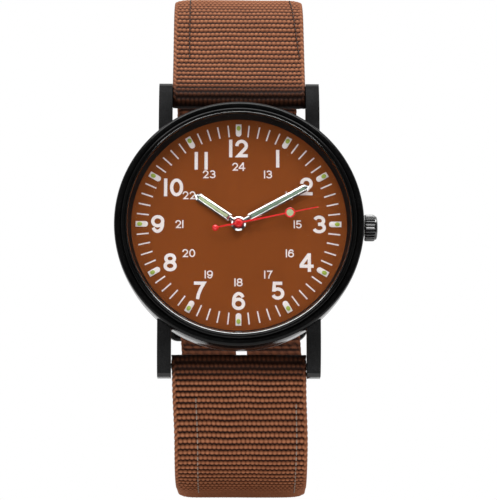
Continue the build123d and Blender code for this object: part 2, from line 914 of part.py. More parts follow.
# Crown tube, crown, stem and setting pinion
crown_standoff = 0.3
crown_foot = case_radius + crown_standoff
crown_radius = 2.18
crown_length = 1.7
crown_dome = 0.55
crown_end_radius = 1.95
crown_dome_rise = 0.35
crown_edge = 0.12
crown_flutes = 26
crown_groove_radius = 2.03
flute_shares = (-0.25, 0.25, 0.5)
crown_bore_depth = 1.45
seal_room = 0.25
tube_end = crown_foot + crown_bore_depth - 2 * running
crown_bore = tube_radius + seal_room
crown_seal_radius = crown_bore * cos(pi / disc_sides) - slip
tube_bore = stem_radius + 2 * running
tube_start = cavity_radius + running
crown_shoulder = crown_foot + crown_length
crown_end = crown_shoulder + crown_dome


def across(distance, height=stem_height, reach=0):
    """A plane square to +X, centred on the stem or on another axis along X."""
    return Plane(origin=(distance, -height, reach), x_dir=(0, 1, 0), z_dir=(1, 0, 0))


along_stem = Axis((0, -stem_height, 0), (1, 0, 0))
stem_profile = Plane(origin=(0, -stem_height, 0), x_dir=(1, 0, 0), z_dir=(0, -1, 0))

with BuildPart() as crown_tube:
    with BuildSketch(across(tube_start)):
        rod(tube_radius)
        hole(tube_bore)
    extrude(amount=tube_end - tube_start)
write(crown_tube, "crown_tube")

with BuildPart() as crown:
    with BuildSketch(across(crown_foot)):
        rod(crown_groove_radius, crown_flutes)
    extrude(amount=crown_length)
    with BuildSketch(across(crown_foot + crown_edge)):
        points = []
        for flute in range(crown_flutes):
            for radius, share in zip((crown_radius, crown_radius, crown_groove_radius), flute_shares):
                angle = 2 * pi * (flute + share) / crown_flutes
                points.append((radius * cos(angle), radius * sin(angle)))
        Polygon(*points, align=None)
    extrude(amount=crown_length - 2 * crown_edge)
    with BuildSketch(stem_profile):
        Polygon(
            (crown_shoulder, 0),
            (crown_shoulder, crown_end_radius),
            (crown_end - crown_dome_rise, crown_end_radius),
            tuple(reversed(dome_middle(crown_end_radius, crown_end, crown_dome_rise))),
            (crown_end, 0),
            align=None,
        )
    revolve(axis=along_stem)
    with BuildSketch(across(crown_foot)):
        rod(crown_bore, disc_sides)
    extrude(amount=crown_bore_depth, mode=Mode.SUBTRACT)
write(crown, "crown")

crown_seal_lift = 0.2
with BuildPart() as crown_gasket:
    with BuildSketch(across(crown_foot + crown_seal_lift)):
        rod(crown_seal_radius, disc_sides)
        hole(tube_radius + slip, disc_sides)
    extrude(amount=seal_room)
write(crown_gasket, "crown_gasket")

stem_start = 4.2
stem_groove_depth = 0.2
stem_groove_width = 0.6
lever_pin_radius = 0.18
lever_pin_start = lever_pivot[0] - crown_travel / 2
with BuildPart() as winding_stem:
    with BuildSketch(across(stem_start)):
        rod(stem_radius)
    extrude(amount=crown_foot + crown_bore_depth - stem_start)
    with BuildSketch(across(lever_pin_start - stem_groove_width / 2)):
        rod(stem_radius)
        hole(stem_radius - stem_groove_depth)
    extrude(amount=stem_groove_width, mode=Mode.SUBTRACT)
write(winding_stem, "winding_stem")

with BuildPart() as setting_pinion:
    with BuildSketch(across(setting_pinion_start)):
        toothed(setting_leaves, setting_module, 0, gap=False)
        hole(stem_radius + slip / 2)
    extrude(amount=setting_pinion_length)
write(setting_pinion, "setting_pinion")

# Setting lever: its pin sits in the stem's groove and swings with the crown's pull
lever_thickness = 0.2
lever_lift = 0.05
lever_head_radius = 0.55
lever_foot = plate_top + lever_lift
lever_pin_depth = 0.34

with BuildPart() as setting_lever:
    with BuildSketch(facing(lever_foot)):
        with Locations(lever_pivot):
            rod(lever_head_radius)
        with Locations((lever_pin_start, 0)):
            rod(lever_pin_radius + lever_head_radius / 3)
        make_hull()
        with Locations(lever_pivot):
            hole(lever_stud_radius + running)
    extrude(amount=lever_thickness)
    with BuildSketch(facing(lever_foot)):
        with Locations((lever_pin_start, 0)):
            rod(lever_pin_radius)
    extrude(amount=-lever_pin_depth)
write(setting_lever, "setting_lever")

# Spring bars: a crimped tube, a spring and two sprung tips in the lugs' holes
bar_radius = 0.8
bar_wall = 0.15
bar_end_gap = 0.12
crimp_length = 0.3
tip_radius = 0.45
plunger_radius = bar_radius - bar_wall - running
plunger_length = 1.2
tip_depth = bar_hole_depth - running * 2
bar_end = lug_gap / 2 - bar_end_gap
plunger_end = bar_end - crimp_length - running
spring_radius = plunger_radius - running
spring_bore = 0.3

for end, name in ((1, "upper"), (-1, "lower")):
    middle = across(0, bar_height, end * bar_reach)
    with BuildPart() as spring_bar_tube:
        with BuildSketch(middle):
            rod(bar_radius)
        extrude(amount=bar_end, both=True)
        with BuildSketch(middle):
            rod(tip_radius + running)
        extrude(amount=bar_end, both=True, mode=Mode.SUBTRACT)
        with BuildSketch(middle):
            rod(bar_radius - bar_wall)
        extrude(amount=bar_end - crimp_length, both=True, mode=Mode.SUBTRACT)
    write(spring_bar_tube, f"spring_bar_tube_{name}")
    with BuildPart() as spring_bar_spring:
        with BuildSketch(middle):
            rod(spring_radius)
            hole(spring_bore)
        extrude(amount=plunger_end - plunger_length, both=True)
    write(spring_bar_spring, f"spring_bar_spring_{name}")
    for side, hand in ((1, "right"), (-1, "left")):
        with BuildPart() as spring_bar_tip:
            with BuildSketch(across(side * (plunger_end - plunger_length), bar_height, end * bar_reach)):
                rod(plunger_radius)
            extrude(amount=side * plunger_length)
            with BuildSketch(across(side * plunger_end, bar_height, end * bar_reach)):
                rod(tip_radius)
            extrude(amount=side * (lug_gap / 2 + tip_depth - plunger_end))
        write(spring_bar_tip, f"spring_bar_tip_{name}_{hand}")

# Strap: each half leaves its spring bar, rounds the wrist and runs flat across the back
strap_lean_angle = 25
upper_run = 15.5
lower_run = 12.6
front_bend = 13.0
back_bend = 20.0
side_run = 4.97
end_loop_radius = 1.85
loop_taper = 7.0
bar_bore = bar_radius + running
layer_gap = 0.15
front_rise = upper_run * sin(radians(strap_lean_angle)) + front_bend * cos(radians(strap_lean_angle))
short_depth = front_rise - bar_height + side_run + back_bend
back_inner_depth = short_depth - strap_thickness / 2
long_depth = short_depth + strap_thickness + layer_gap
pin_reach = 2.0
pin_radius = 0.75
pin_loop_radius = 1.5
pin_depth = short_depth + strap_thickness / 2 - pin_loop_radius
tail_reach = 25.5
tail_round = 7.5
tongue_slot_half = 1.3
tongue_slot_reach = 3.6
hole_length = 4.2
hole_width = 2
hole_straight = hole_length - hole_width
hole_middle = 0.1
hole_pitch = 6.5
holes_each_way = 3


def strap_band(end, run, depth, flat_end):
    """The side outline of one strap half: run from the bar, front bend, back bend, flat stretch."""
    half = strap_thickness / 2
    lean = radians(strap_lean_angle)
    start = (-bar_height, bar_reach)
    knee = (start[0] + run * sin(lean), start[1] + run * cos(lean))
    front_centre = (knee[0] + front_bend * cos(lean), knee[1] - front_bend * sin(lean))
    back_centre = (depth - back_bend, front_centre[1] + front_bend - back_bend)
    middle = (pi / 2 - lean) / 2

    def edge(offset):
        front = front_bend + offset
        back = back_bend + offset
        a = (start[0] - offset * cos(lean), end * (start[1] + offset * sin(lean)))
        b = (knee[0] - offset * cos(lean), end * (knee[1] + offset * sin(lean)))
        c = (front_centre[0], end * (front_centre[1] + front))
        d = (back_centre[0], end * (back_centre[1] + back))
        e = (back_centre[0] + back, end * back_centre[1])
        f = (back_centre[0] + back, flat_end)
        Line(a, b)
        ThreePointArc(
            b,
            (front_centre[0] - front * sin(middle), end * (front_centre[1] + front * cos(middle))),
            c,
        )
        Line(c, d)
        ThreePointArc(
            d,
            (back_centre[0] + back * sin(pi / 4), end * (back_centre[1] + back * cos(pi / 4))),
            e,
        )
        Line(e, f)
        return a, f

    first_outer, last_outer = edge(half)
    first_inner, last_inner = edge(-half)
    Line(first_outer, first_inner)
    Line(last_outer, last_inner)


def strap_fold(end):
    """The thick sewn fold round the spring bar, tapering into the strap."""
    half = strap_thickness / 2
    lean = radians(strap_lean_angle)
    out = (sin(lean), cos(lean))
    across_lean = (-cos(lean), sin(lean))
    bar = (-bar_height, bar_reach)
    points = []
    for travel, offset in (
        (0, end_loop_radius),
        (loop_taper, half),
        (loop_taper, -half),
        (0, -end_loop_radius),
    ):
        y = bar[0] + travel * out[0] + offset * across_lean[0]
        z = bar[1] + travel * out[1] + offset * across_lean[1]
        points.append((y, end * z))
    Polygon(*points, align=None)
    with Locations((bar[0], end * bar[1])):
        Circle(end_loop_radius)


with BuildPart() as strap_upper:
    with BuildSketch(Plane.YZ):
        with BuildLine():
            strap_band(1, upper_run, short_depth, pin_reach)
        make_face()
        strap_fold(1)
        with Locations((pin_depth, pin_reach)):
            Circle(pin_loop_radius)
            Circle(pin_radius + running, mode=Mode.SUBTRACT)
        with Locations((-bar_height, bar_reach)):
            Circle(bar_bore, mode=Mode.SUBTRACT)
    extrude(amount=strap_width / 2, both=True)
    with BuildSketch(facing(-pin_depth)):
        with Locations((0, pin_reach)):
            Rectangle(2 * tongue_slot_half, 2 * tongue_slot_reach)
    extrude(amount=2 * strap_thickness, both=True, mode=Mode.SUBTRACT)
write(strap_upper, "strap_upper")

with BuildPart() as strap_lower:
    with BuildSketch(Plane.YZ):
        with BuildLine():
            strap_band(-1, lower_run, long_depth, tail_reach)
        make_face()
        strap_fold(-1)
        with Locations((-bar_height, -bar_reach)):
            Circle(bar_bore, mode=Mode.SUBTRACT)
    extrude(amount=strap_width / 2, both=True)
    with BuildSketch(facing(-long_depth)):
        with BuildLine():
            half_width = strap_width / 2
            Polyline(
                (-half_width, tail_reach - tail_round),
                (-half_width, -3 * bar_reach),
                (half_width, -3 * bar_reach),
                (half_width, tail_reach - tail_round),
            )
            ThreePointArc(
                (half_width, tail_reach - tail_round),
                (0, tail_reach),
                (-half_width, tail_reach - tail_round),
            )
        make_face()
    extrude(amount=2 * long_depth, both=True, mode=Mode.INTERSECT)
    with BuildSketch(facing(-long_depth)):
        with Locations(
            *[(0, hole_middle + place * hole_pitch) for place in range(-holes_each_way, holes_each_way + 1)]
        ):
            Polygon(
                (-hole_width / 2, hole_straight / 2),
                (-hole_width / 4, hole_length / 2),
                (hole_width / 4, hole_length / 2),
                (hole_width / 2, hole_straight / 2),
                (hole_width / 2, -hole_straight / 2),
                (hole_width / 4, -hole_length / 2),
                (-hole_width / 4, -hole_length / 2),
                (-hole_width / 2, -hole_straight / 2),
                align=None,
            )
    extrude(amount=strap_thickness, both=True, mode=Mode.SUBTRACT)
write(strap_lower, "strap_lower")

# Keepers: flat bands round both layers, the near one sewn down and the far one free
keeper_length = 5.0
keeper_thickness = 0.9
keeper_gap = 0.1
keeper_corner = 0.5
fixed_keeper_reach = 7.0
free_keeper_reach = 14.5
keeper_middle = (back_inner_depth + long_depth + strap_thickness / 2) / 2
keeper_inner_height = long_depth + strap_thickness / 2 - back_inner_depth + 2 * keeper_gap
keeper_inner_width = strap_width + 2 * keeper_gap

for reach, name in ((fixed_keeper_reach, "keeper_fixed"), (free_keeper_reach, "keeper_free")):
    with BuildPart() as keeper:
        with BuildSketch(Plane.XY.offset(reach)):
            with Locations((0, keeper_middle)):
                RectangleRounded(
                    keeper_inner_width + 2 * keeper_thickness,
                    keeper_inner_height + 2 * keeper_thickness,
                    keeper_corner,
                )
                Rectangle(keeper_inner_width, keeper_inner_height, mode=Mode.SUBTRACT)
        extrude(amount=keeper_length)
    write(keeper, name)

# Buckle: a three-sided frame, the pin that closes it and the tongue that swings on the pin
frame_gap = 0.4
frame_arm = 1.8
frame_reach = 11.6
frame_bar_radius = 0.9
frame_bar_gap = 0.5
frame_corner = 2.6
frame_pin_seat = 1.0
frame_inner_half = strap_width / 2 + frame_gap
frame_outer_half = frame_inner_half + frame_arm
frame_bar_depth = long_depth + strap_thickness / 2 + frame_bar_gap + frame_bar_radius
frame_end = pin_reach - frame_reach
frame_low = frame_end - frame_bar_radius
pin_half = frame_inner_half + frame_pin_seat

with BuildPart() as buckle_frame:
    for side in (-1, 1):
        with BuildSketch(Plane.YZ.offset(side * frame_inner_half)):
            with Locations((pin_depth, pin_reach)):
                Circle(pin_loop_radius)
            with Locations((frame_bar_depth, frame_end)):
                Circle(frame_bar_radius)
            make_hull()
        extrude(amount=side * frame_arm)
    with Locations(Location((0, frame_bar_depth, frame_end), (0, 90, 0))):
        Cylinder(frame_bar_radius, 2 * frame_outer_half)
    with BuildSketch(facing(-pin_depth)):
        with Locations((0, frame_low + frame_reach)):
            RectangleRounded(2 * frame_outer_half, 2 * frame_reach, frame_corner)
    extrude(amount=2 * frame_reach, both=True, mode=Mode.INTERSECT)
    with Locations(Location((0, pin_depth, pin_reach), (0, 90, 0))):
        Cylinder(pin_radius + slip, 2 * (pin_half + slip), mode=Mode.SUBTRACT)
write(buckle_frame, "buckle_frame")

with BuildPart() as buckle_pin:
    with Locations(Location((0, pin_depth, pin_reach), (0, 90, 0))):
        Cylinder(pin_radius, 2 * pin_half)
write(buckle_pin, "buckle_pin")

tongue_half_width = 0.7
tongue_thickness = 1.0
tongue_eye_wall = 0.5
tongue_elbow = 3.4
tongue_lift = 0.15
tongue_overhang = 0.6
tongue_rest = 0.05
eye_bore = pin_radius + running
eye_radius = eye_bore + tongue_eye_wall
elbow_depth = long_depth + strap_thickness / 2 + tongue_lift + tongue_thickness / 2
elbow_reach = pin_reach - tongue_elbow
bar_rise, bar_run = frame_bar_depth - elbow_depth, elbow_reach - frame_end
bar_clear = frame_bar_radius + tongue_rest + tongue_thickness / 2
bar_distance = sqrt(bar_rise**2 + bar_run**2)
tongue_slope = atan2(bar_rise, bar_run) + asin(bar_clear / bar_distance)
tongue_run = sqrt(bar_distance**2 - bar_clear**2) + tongue_overhang
tongue_path = [
    (pin_depth, pin_reach),
    (elbow_depth, elbow_reach),
    (elbow_depth + tongue_run * sin(tongue_slope), elbow_reach - tongue_run * cos(tongue_slope)),
]

with BuildPart() as buckle_tongue:
    for first, second in zip(tongue_path, tongue_path[1:]):
        with BuildSketch(Plane.YZ):
            with Locations(first, second):
                Circle(tongue_thickness / 2)
            make_hull()
        extrude(amount=tongue_half_width, both=True)
    with Locations(Location((0, pin_depth, pin_reach), (0, 90, 0))):
        Cylinder(eye_radius, 2 * tongue_half_width)
        Cylinder(eye_bore, 2 * tongue_half_width, mode=Mode.SUBTRACT)
write(buckle_tongue, "buckle_tongue")
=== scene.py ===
# %% [markdown]
# # A field watch with a brown dial, dressed in Blender
# The watch stands as it is worn: its dial looks along -Y, twelve o'clock is up
# (+Z) and the crown is on +X. The fixed frame comes from the construction model,
# in metres, and every piece made here sits in that same frame.
# A height is a distance in front of the case back, so it lies at y = -height.

import json
import math

import bmesh
import bpy
from mathutils import Matrix, Vector, noise


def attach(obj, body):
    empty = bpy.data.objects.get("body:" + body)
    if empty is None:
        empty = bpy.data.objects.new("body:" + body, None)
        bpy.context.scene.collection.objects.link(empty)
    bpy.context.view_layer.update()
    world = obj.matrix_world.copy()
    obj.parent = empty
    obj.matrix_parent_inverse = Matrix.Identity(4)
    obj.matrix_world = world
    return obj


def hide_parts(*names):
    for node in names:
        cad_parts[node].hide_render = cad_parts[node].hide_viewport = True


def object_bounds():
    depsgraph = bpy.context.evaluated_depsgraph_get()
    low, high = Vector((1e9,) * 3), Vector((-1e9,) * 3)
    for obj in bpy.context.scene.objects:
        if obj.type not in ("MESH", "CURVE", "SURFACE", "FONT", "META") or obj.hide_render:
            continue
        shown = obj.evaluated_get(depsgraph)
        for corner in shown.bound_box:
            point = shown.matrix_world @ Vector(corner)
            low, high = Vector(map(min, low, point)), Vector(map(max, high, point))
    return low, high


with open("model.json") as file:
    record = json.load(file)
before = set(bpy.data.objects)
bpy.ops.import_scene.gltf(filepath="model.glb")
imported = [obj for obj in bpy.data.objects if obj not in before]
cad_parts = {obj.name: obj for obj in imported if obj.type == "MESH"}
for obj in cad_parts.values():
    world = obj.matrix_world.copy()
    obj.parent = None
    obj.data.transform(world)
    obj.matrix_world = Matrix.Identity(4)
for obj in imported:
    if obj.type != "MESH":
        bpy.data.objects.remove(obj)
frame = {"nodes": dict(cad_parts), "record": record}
nodes = frame["nodes"]
frame_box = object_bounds()
mm = 0.001
scene = bpy.context.scene

# %% [markdown]
# ## The camera
# The picture is taken from 370 mm in front of the dial and a little below it,
# so the watch shows some of its lower case wall. A long lens keeps the round
# case round. The aim lies a little below and to the right of the dial's centre,
# which puts the watch where the photograph has it.

# %% Camera
dial_height = 5.9
eye = Vector((-3.2, -367.3, -79.4)) * mm
aim = Vector((1.53, -5.02, -4.01)) * mm
lens = bpy.data.cameras.new("view")
lens.sensor_width = 36
lens.lens = 164.2
lens.clip_start, lens.clip_end = 0.01, 20
camera = bpy.data.objects.new("view", lens)
camera.location = eye
camera.rotation_euler = (aim - eye).to_track_quat("-Z", "Y").to_euler()
scene.collection.objects.link(camera)
scene.camera = camera
print("camera distance in mm:", round((aim - eye).length / mm, 1))

# %% [markdown]
# ## Small helpers for nodes
# Every finish below is a node tree on the Principled shader. These helpers add
# a node and join it, so that a finish reads like a recipe. Patterns are placed
# by Object coordinates, which here are metres in the watch's own frame.

# %% Node helpers
def start_finish(name):
    """A new material with one Principled shader; returns the material and the shader."""
    material = bpy.data.materials.new(name)
    material.use_nodes = True
    return material, material.node_tree.nodes["Principled BSDF"]


def fill(material, node, inputs):
    """Gives each named input a value, or joins it to another node's output."""
    for key, value in inputs.items():
        if isinstance(value, bpy.types.NodeSocket):
            material.node_tree.links.new(value, node.inputs[key])
        else:
            node.inputs[key].default_value = value


def add(material, kind, inputs=None, **settings):
    """Adds a node, sets its options and fills its inputs."""
    node = material.node_tree.nodes.new(kind)
    for key, value in settings.items():
        setattr(node, key, value)
    fill(material, node, inputs or {})
    return node


def grey(level):
    """A colour with three equal parts."""
    return (level, level, level)


def compute(material, operation, *values):
    """One step of arithmetic on numbers or sockets."""
    return add(material, "ShaderNodeMath", dict(enumerate(values)), operation=operation).outputs[0]


def place(material, stretch=(1, 1, 1)):
    """Object coordinates in millimetres, stretched for a grain that runs one way."""
    where = add(material, "ShaderNodeTexCoord").outputs["Object"]
    scale = [value / mm for value in stretch]
    return add(material, "ShaderNodeMapping", {"Vector": where, "Scale": scale}).outputs["Vector"]


def speckle(material, vector, size, detail=3, roughness=0.55):
    """Noise whose blots are about size millimetres across."""
    settings = {"Vector": vector, "Scale": 1 / size, "Detail": detail, "Roughness": roughness}
    return add(material, "ShaderNodeTexNoise", settings).outputs["Fac"]


def between(material, factor, low, high, start=0.0, end=1.0, **settings):
    """Maps a factor from start..end to low..high."""
    inputs = {"Value": factor, "From Min": start, "From Max": end, "To Min": low, "To Max": high}
    return add(material, "ShaderNodeMapRange", inputs, **settings).outputs["Result"]


def blend_colours(material, factor, first, second):
    """Mixes two colours, or sockets, by a factor."""
    first, second = (c if isinstance(c, bpy.types.NodeSocket) else (*c, 1) for c in (first, second))
    return add(material, "ShaderNodeMix", {0: factor, 6: first, 7: second}, data_type="RGBA").outputs[2]


def relief(material, height, distance, strength=1.0):
    """The normal of a bump of a given depth in millimetres."""
    inputs = {"Height": height, "Distance": distance * mm, "Strength": strength}
    return add(material, "ShaderNodeBump", inputs).outputs["Normal"]


def see_through(material, shader, clear_for, tint=(1, 1, 1)):
    """Lets the rays marked by a socket pass with a tint; the others meet the shader."""
    clear = add(material, "ShaderNodeBsdfTransparent", {"Color": (*tint, 1)})
    choice = add(material, "ShaderNodeMixShader", {0: clear_for, 1: shader.outputs[0], 2: clear.outputs[0]})
    fill(material, material.node_tree.nodes["Material Output"], {"Surface": choice.outputs[0]})


def surface(name, dark, light, rough, grain, depth, metallic=0.0, stretch=(1, 1, 1), coat=0.0, ior=1.5):
    """A plain finish with grain: colour, roughness and bump all follow one noise."""
    material, shader = start_finish(name)
    vector = place(material, stretch)
    fine = speckle(material, vector, grain)
    broad = speckle(material, vector, grain * 14, detail=2)
    tone = between(material, compute(material, "MULTIPLY", fine, broad), -0.35, 2.2)
    inputs = {
        "Base Color": blend_colours(material, tone, dark, light),
        "Roughness": between(material, fine, *rough),
        "Normal": relief(material, fine, depth),
    }
    fill(material, shader, inputs)
    fill(material, shader, {"Metallic": metallic, "Coat Weight": coat, "Coat Roughness": 0.08, "IOR": ior})
    return material


print("helpers ready")

# %% [markdown]
# ## Metal, plastic and print finishes
# The case and bezel are black: a hard dark coat over steel. It mirrors softly
# and takes a bright edge where it meets white surroundings at a low angle, so
# it is a dark metal rather than black paint. The bezel is smoother than the
# satin case. Steel, brass, print and rubber follow the same recipe with other
# numbers, because each is a plain surface with a little grain.

# %% Metals and plastics
finish = {
    "case_steel": surface(
        "black_case", grey(0.013), (0.029, 0.029, 0.03), (0.24, 0.32), 0.22, 0.003, ior=1.06
    ),
    "bezel_steel": surface("black_bezel", grey(0.002), grey(0.007), (0.15, 0.24), 0.3, 0.0015, ior=1.3),
    "steel": surface(
        "brushed_steel", (0.33, 0.33, 0.34), grey(0.6), (0.25, 0.42), 0.12, 0.004, 1.0, (1, 1, 6)
    ),
    "movement_steel": surface(
        "plated_steel", (0.4, 0.39, 0.37), (0.68, 0.67, 0.64), (0.2, 0.36), 0.1, 0.003, 1.0, (5, 1, 1)
    ),
    "brass": surface("wheel_brass", (0.45, 0.29, 0.1), (0.75, 0.53, 0.22), (0.2, 0.34), 0.12, 0.003, 1.0),
    "seal": surface("black_rubber", grey(0.012), grey(0.03), (0.55, 0.75), 0.3, 0.01),
    "flange_black": surface(
        "dark_flange", grey(0.001), (0.004, 0.003, 0.003), (0.4, 0.5), 0.25, 0.003, ior=1.2
    ),
    "crown_coating": surface(
        "crown_coating", grey(0.1), grey(0.22), (0.14, 0.24), 0.2, 0.001, metallic=1.0
    ),
    "ring_plastic": surface("ring_plastic", (0.3, 0.3, 0.29), (0.5, 0.5, 0.48), (0.4, 0.55), 0.5, 0.008),
    "board_green": surface(
        "board_green", (0.01, 0.08, 0.03), (0.03, 0.18, 0.07), (0.3, 0.45), 0.6, 0.004, coat=0.3
    ),
    "coil_copper": surface(
        "copper_winding", (0.4, 0.14, 0.05), (0.75, 0.34, 0.16), (0.3, 0.45), 0.08, 0.01, 0.8, (9, 1, 1)
    ),
    "hand_chrome": surface("polished_hand", grey(0.72), grey(0.86), (0.06, 0.14), 0.3, 0.0008, 1.0),
    "hand_red": surface(
        "red_lacquer", (0.66, 0.008, 0.01), (0.86, 0.018, 0.02), (0.2, 0.3), 0.2, 0.001, coat=1.0, ior=1.7
    ),
    "marker_white": surface(
        "printed_white", (0.72, 0.63, 0.62), (0.86, 0.78, 0.77), (0.42, 0.58), 0.12, 0.003
    ),
}
print("finishes:", len(finish))

# %% [markdown]
# ## The dial's brown lacquer
# A dial like this is lacquered brass: an even matt brown with a very fine
# grain and hardly any gloss. Two noises change its tone a little, so that the
# large flat face isn't one dead colour.

# %% Dial lacquer
brown, shader = start_finish("brown_dial")
vector = place(brown)
cloud = speckle(brown, vector, 9.0, detail=2)
grit = speckle(brown, vector, 0.09, detail=2)
tone = blend_colours(brown, cloud, (0.184, 0.042, 0.0045), (0.22, 0.051, 0.006))
tone = blend_colours(brown, between(brown, grit, 0.0, 0.3), tone, (0.15, 0.032, 0.004))
roughness, normal = between(brown, grit, 0.5, 0.66), relief(brown, grit, 0.002)
fill(brown, shader, {"Base Color": tone, "Roughness": roughness, "IOR": 1.2, "Normal": normal})
finish["dial_brown"] = brown
print("dial lacquer ready")

# %% [markdown]
# ## Luminous paint
# The paint on the hands and markers is a pale green powder in clear lacquer,
# so it is slightly translucent and rough. The pips on the dial are a stronger
# yellow-green than the hands' windows, and the minute hand's window is the
# greyest of them.

# %% Luminous paint
def luminous(name, dark, light):
    """Pale powder in clear lacquer, between two tones."""
    paint, shader = start_finish(name)
    vector = place(paint)
    powder = speckle(paint, vector, 0.1, detail=4)
    inputs = {
        "Base Color": blend_colours(paint, powder, dark, light),
        "Roughness": between(paint, powder, 0.45, 0.7),
        "Subsurface Weight": 0.15,
        "Subsurface Radius": (0.2 * mm, 0.3 * mm, 0.2 * mm),
        "Normal": relief(paint, powder, 0.008),
    }
    fill(paint, shader, inputs)
    return paint


finish["lume_green"] = luminous("pale_lume", (0.3, 0.36, 0.2), (0.46, 0.53, 0.31))
aged_lume = luminous("aged_lume", (0.1, 0.16, 0.11), (0.19, 0.27, 0.19))
pip_lume = luminous("pip_lume", (0.2, 0.27, 0.02), (0.4, 0.5, 0.07))
print("luminous paints ready")

# %% [markdown]
# ## Crystal glass
# Mineral glass is clear and mirrors about four hundredths of what is in front
# of it. A solid glass shader would block the lamps from the dial in a path
# tracer, so rays from lamps pass through a Transparent shader instead. A faint
# smear of roughness keeps the gloss from looking like a perfect mirror.

# %% Crystal glass
glass, shader = start_finish("crystal_glass")
smear = speckle(glass, place(glass), 5.0, detail=2)
fill(glass, shader, {"Base Color": (0.97, 0.985, 0.98, 1), "Transmission Weight": 1.0, "IOR": 1.5})
fill(glass, shader, {"Roughness": between(glass, smear, 0.0, 0.03)})
lamp_ray = add(glass, "ShaderNodeLightPath").outputs["Is Shadow Ray"]
see_through(glass, shader, lamp_ray, tint=(0.96, 0.97, 0.965))
finish["glass"] = glass
print("glass ready")

# %% [markdown]
# ## Woven webbing
# The strap is thick nylon webbing: ribs run across it every millimetre, and
# each rib is a row of round yarn loops, set half a loop over from the row
# below. The strap pieces carry the height of that weave at every vertex, in an
# attribute called `weave`. The finish paints shade into the gaps, gives the
# loops' flanks a reddish brown and paints light onto their tops.

# %% Webbing
def webbing(name, gap, flank, top):
    """Cloth whose colour climbs with the weave: painted shade in the gaps, brown flanks, painted light on the
    tops.
    """
    cloth, shader = start_finish(name)
    vector = place(cloth)
    rise = add(cloth, "ShaderNodeAttribute", attribute_name="weave").outputs["Fac"]
    strand = speckle(cloth, vector, 0.16, detail=4, roughness=0.65)
    patch = speckle(cloth, vector, 2.6, detail=2)
    lifted = compute(cloth, "MULTIPLY_ADD", strand, 0.34, rise)
    clear_of_gap_shade = between(cloth, lifted, 0.0, 1.0, 0.2, 0.62, interpolation_type="SMOOTHSTEP")
    lit_top_share = between(cloth, lifted, 0.0, 1.0, 0.5, 1.25, interpolation_type="SMOOTHSTEP")
    # The loops' tops blend to the top colour: painted light on the raised yarn.
    colour = blend_colours(cloth, lit_top_share, flank, top)
    colour = blend_colours(cloth, between(cloth, patch, -0.25, 0.5), colour, flank)
    # The weave's low places take the gap colour: painted shade between the loops.
    colour = blend_colours(cloth, clear_of_gap_shade, gap, colour)
    normal = relief(cloth, strand, 0.07, 0.9)
    fill(cloth, shader, {"Base Color": colour, "Roughness": 0.7, "IOR": 1.3, "Normal": normal})
    return cloth


# Painted shade for the gaps between the webbing's loops.
painted_gap_shade = (0.012, 0.003, 0.001)
# The last colour of each webbing is painted light on the loops' tops.
finish["webbing"] = webbing("brown_webbing", painted_gap_shade, (0.17, 0.055, 0.024), (0.5, 0.2, 0.096))
finish["keeper_webbing"] = webbing("brown_binding", painted_gap_shade, (0.17, 0.056, 0.024), (0.44, 0.185, 0.092))
dark_thread = surface("dark_thread", (0.03, 0.012, 0.008), (0.08, 0.035, 0.02), (0.5, 0.7), 0.1, 0.02)
thread = surface("grey_thread", (0.24, 0.18, 0.14), (0.42, 0.34, 0.28), (0.5, 0.7), 0.1, 0.02)
print("webbing ready")

# %% [markdown]
# ## Dressing the carried-over nodes
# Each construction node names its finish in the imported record. Nodes whose
# shape is already right keep their mesh and only take that finish. The other
# nodes are replaced further down.

# %% Finish every CAD node
slot_of = {piece["node"]: piece["material_slot"] for piece in frame["record"]["subparts"]}
for name, node in nodes.items():
    node.data.materials.clear()
    node.data.materials.append(finish[slot_of[name]])
print("finished nodes:", len(slot_of))

# %% [markdown]
# ## Helpers for shapes
# A piece starts as a bmesh, a mesh that Blender's modelling operators work on.
# `keep` turns it into an object that rides a body of the watch, takes a finish
# and stands for its CAD nodes. Sharp edges are marked by their angle, so that
# smooth shading stops there.

# %% Shape helpers
def keep(bm, name, body, slot, stands_for=(), material=None, sharp=32, outward=True):
    """Makes a finished bmesh into a piece of the watch."""
    bmesh.ops.remove_doubles(bm, verts=bm.verts, dist=0.0005 * mm)
    if outward:
        bmesh.ops.recalc_face_normals(bm, faces=bm.faces)
    for face in bm.faces:
        face.smooth = True
    for edge in bm.edges:
        edge.smooth = len(edge.link_faces) == 2 and edge.calc_face_angle(0) < math.radians(sharp)
    mesh = bpy.data.meshes.new(name)
    bm.to_mesh(mesh)
    bm.free()
    mesh.materials.append(material or finish[slot])
    piece = bpy.data.objects.new(name, mesh)
    scene.collection.objects.link(piece)
    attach(piece, body)
    if stands_for:
        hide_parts(*stands_for)
    print(name, "faces", len(mesh.polygons))
    return piece


def spun(points, axis, steps, closed):
    """Spins a line of points once round an axis through the origin."""
    bm = bmesh.new()
    verts = [bm.verts.new(Vector(point) * mm) for point in points]
    edges = [bm.edges.new(pair) for pair in zip(verts, verts[1:])]
    if closed:
        edges.append(bm.edges.new((verts[-1], verts[0])))
    once_round = {"cent": (0, 0, 0), "axis": axis, "angle": math.tau, "use_merge": True}
    bmesh.ops.spin(bm, geom=verts + edges, steps=steps, **once_round)
    return bm


def turned(points, steps=160, centre=(0, 0, 0), closed=True):
    """Spins a profile of (radius, height) points about the front-to-back axis."""
    bm = spun([(r, -h, 0) for r, h in points], (0, 1, 0), steps, closed)
    bmesh.ops.remove_doubles(bm, verts=bm.verts, dist=0.0005 * mm)
    bmesh.ops.translate(bm, verts=bm.verts, vec=Vector(centre) * mm)
    return bm


def arc(x, y, reach_x, reach_y, first, last, count=12):
    """Points on an ellipse between two angles in degrees, anticlockwise from the right."""
    angles = [math.radians(first + (last - first) * i / count) for i in range(count + 1)]
    return [(x + reach_x * math.cos(a), y + reach_y * math.sin(a)) for a in angles]


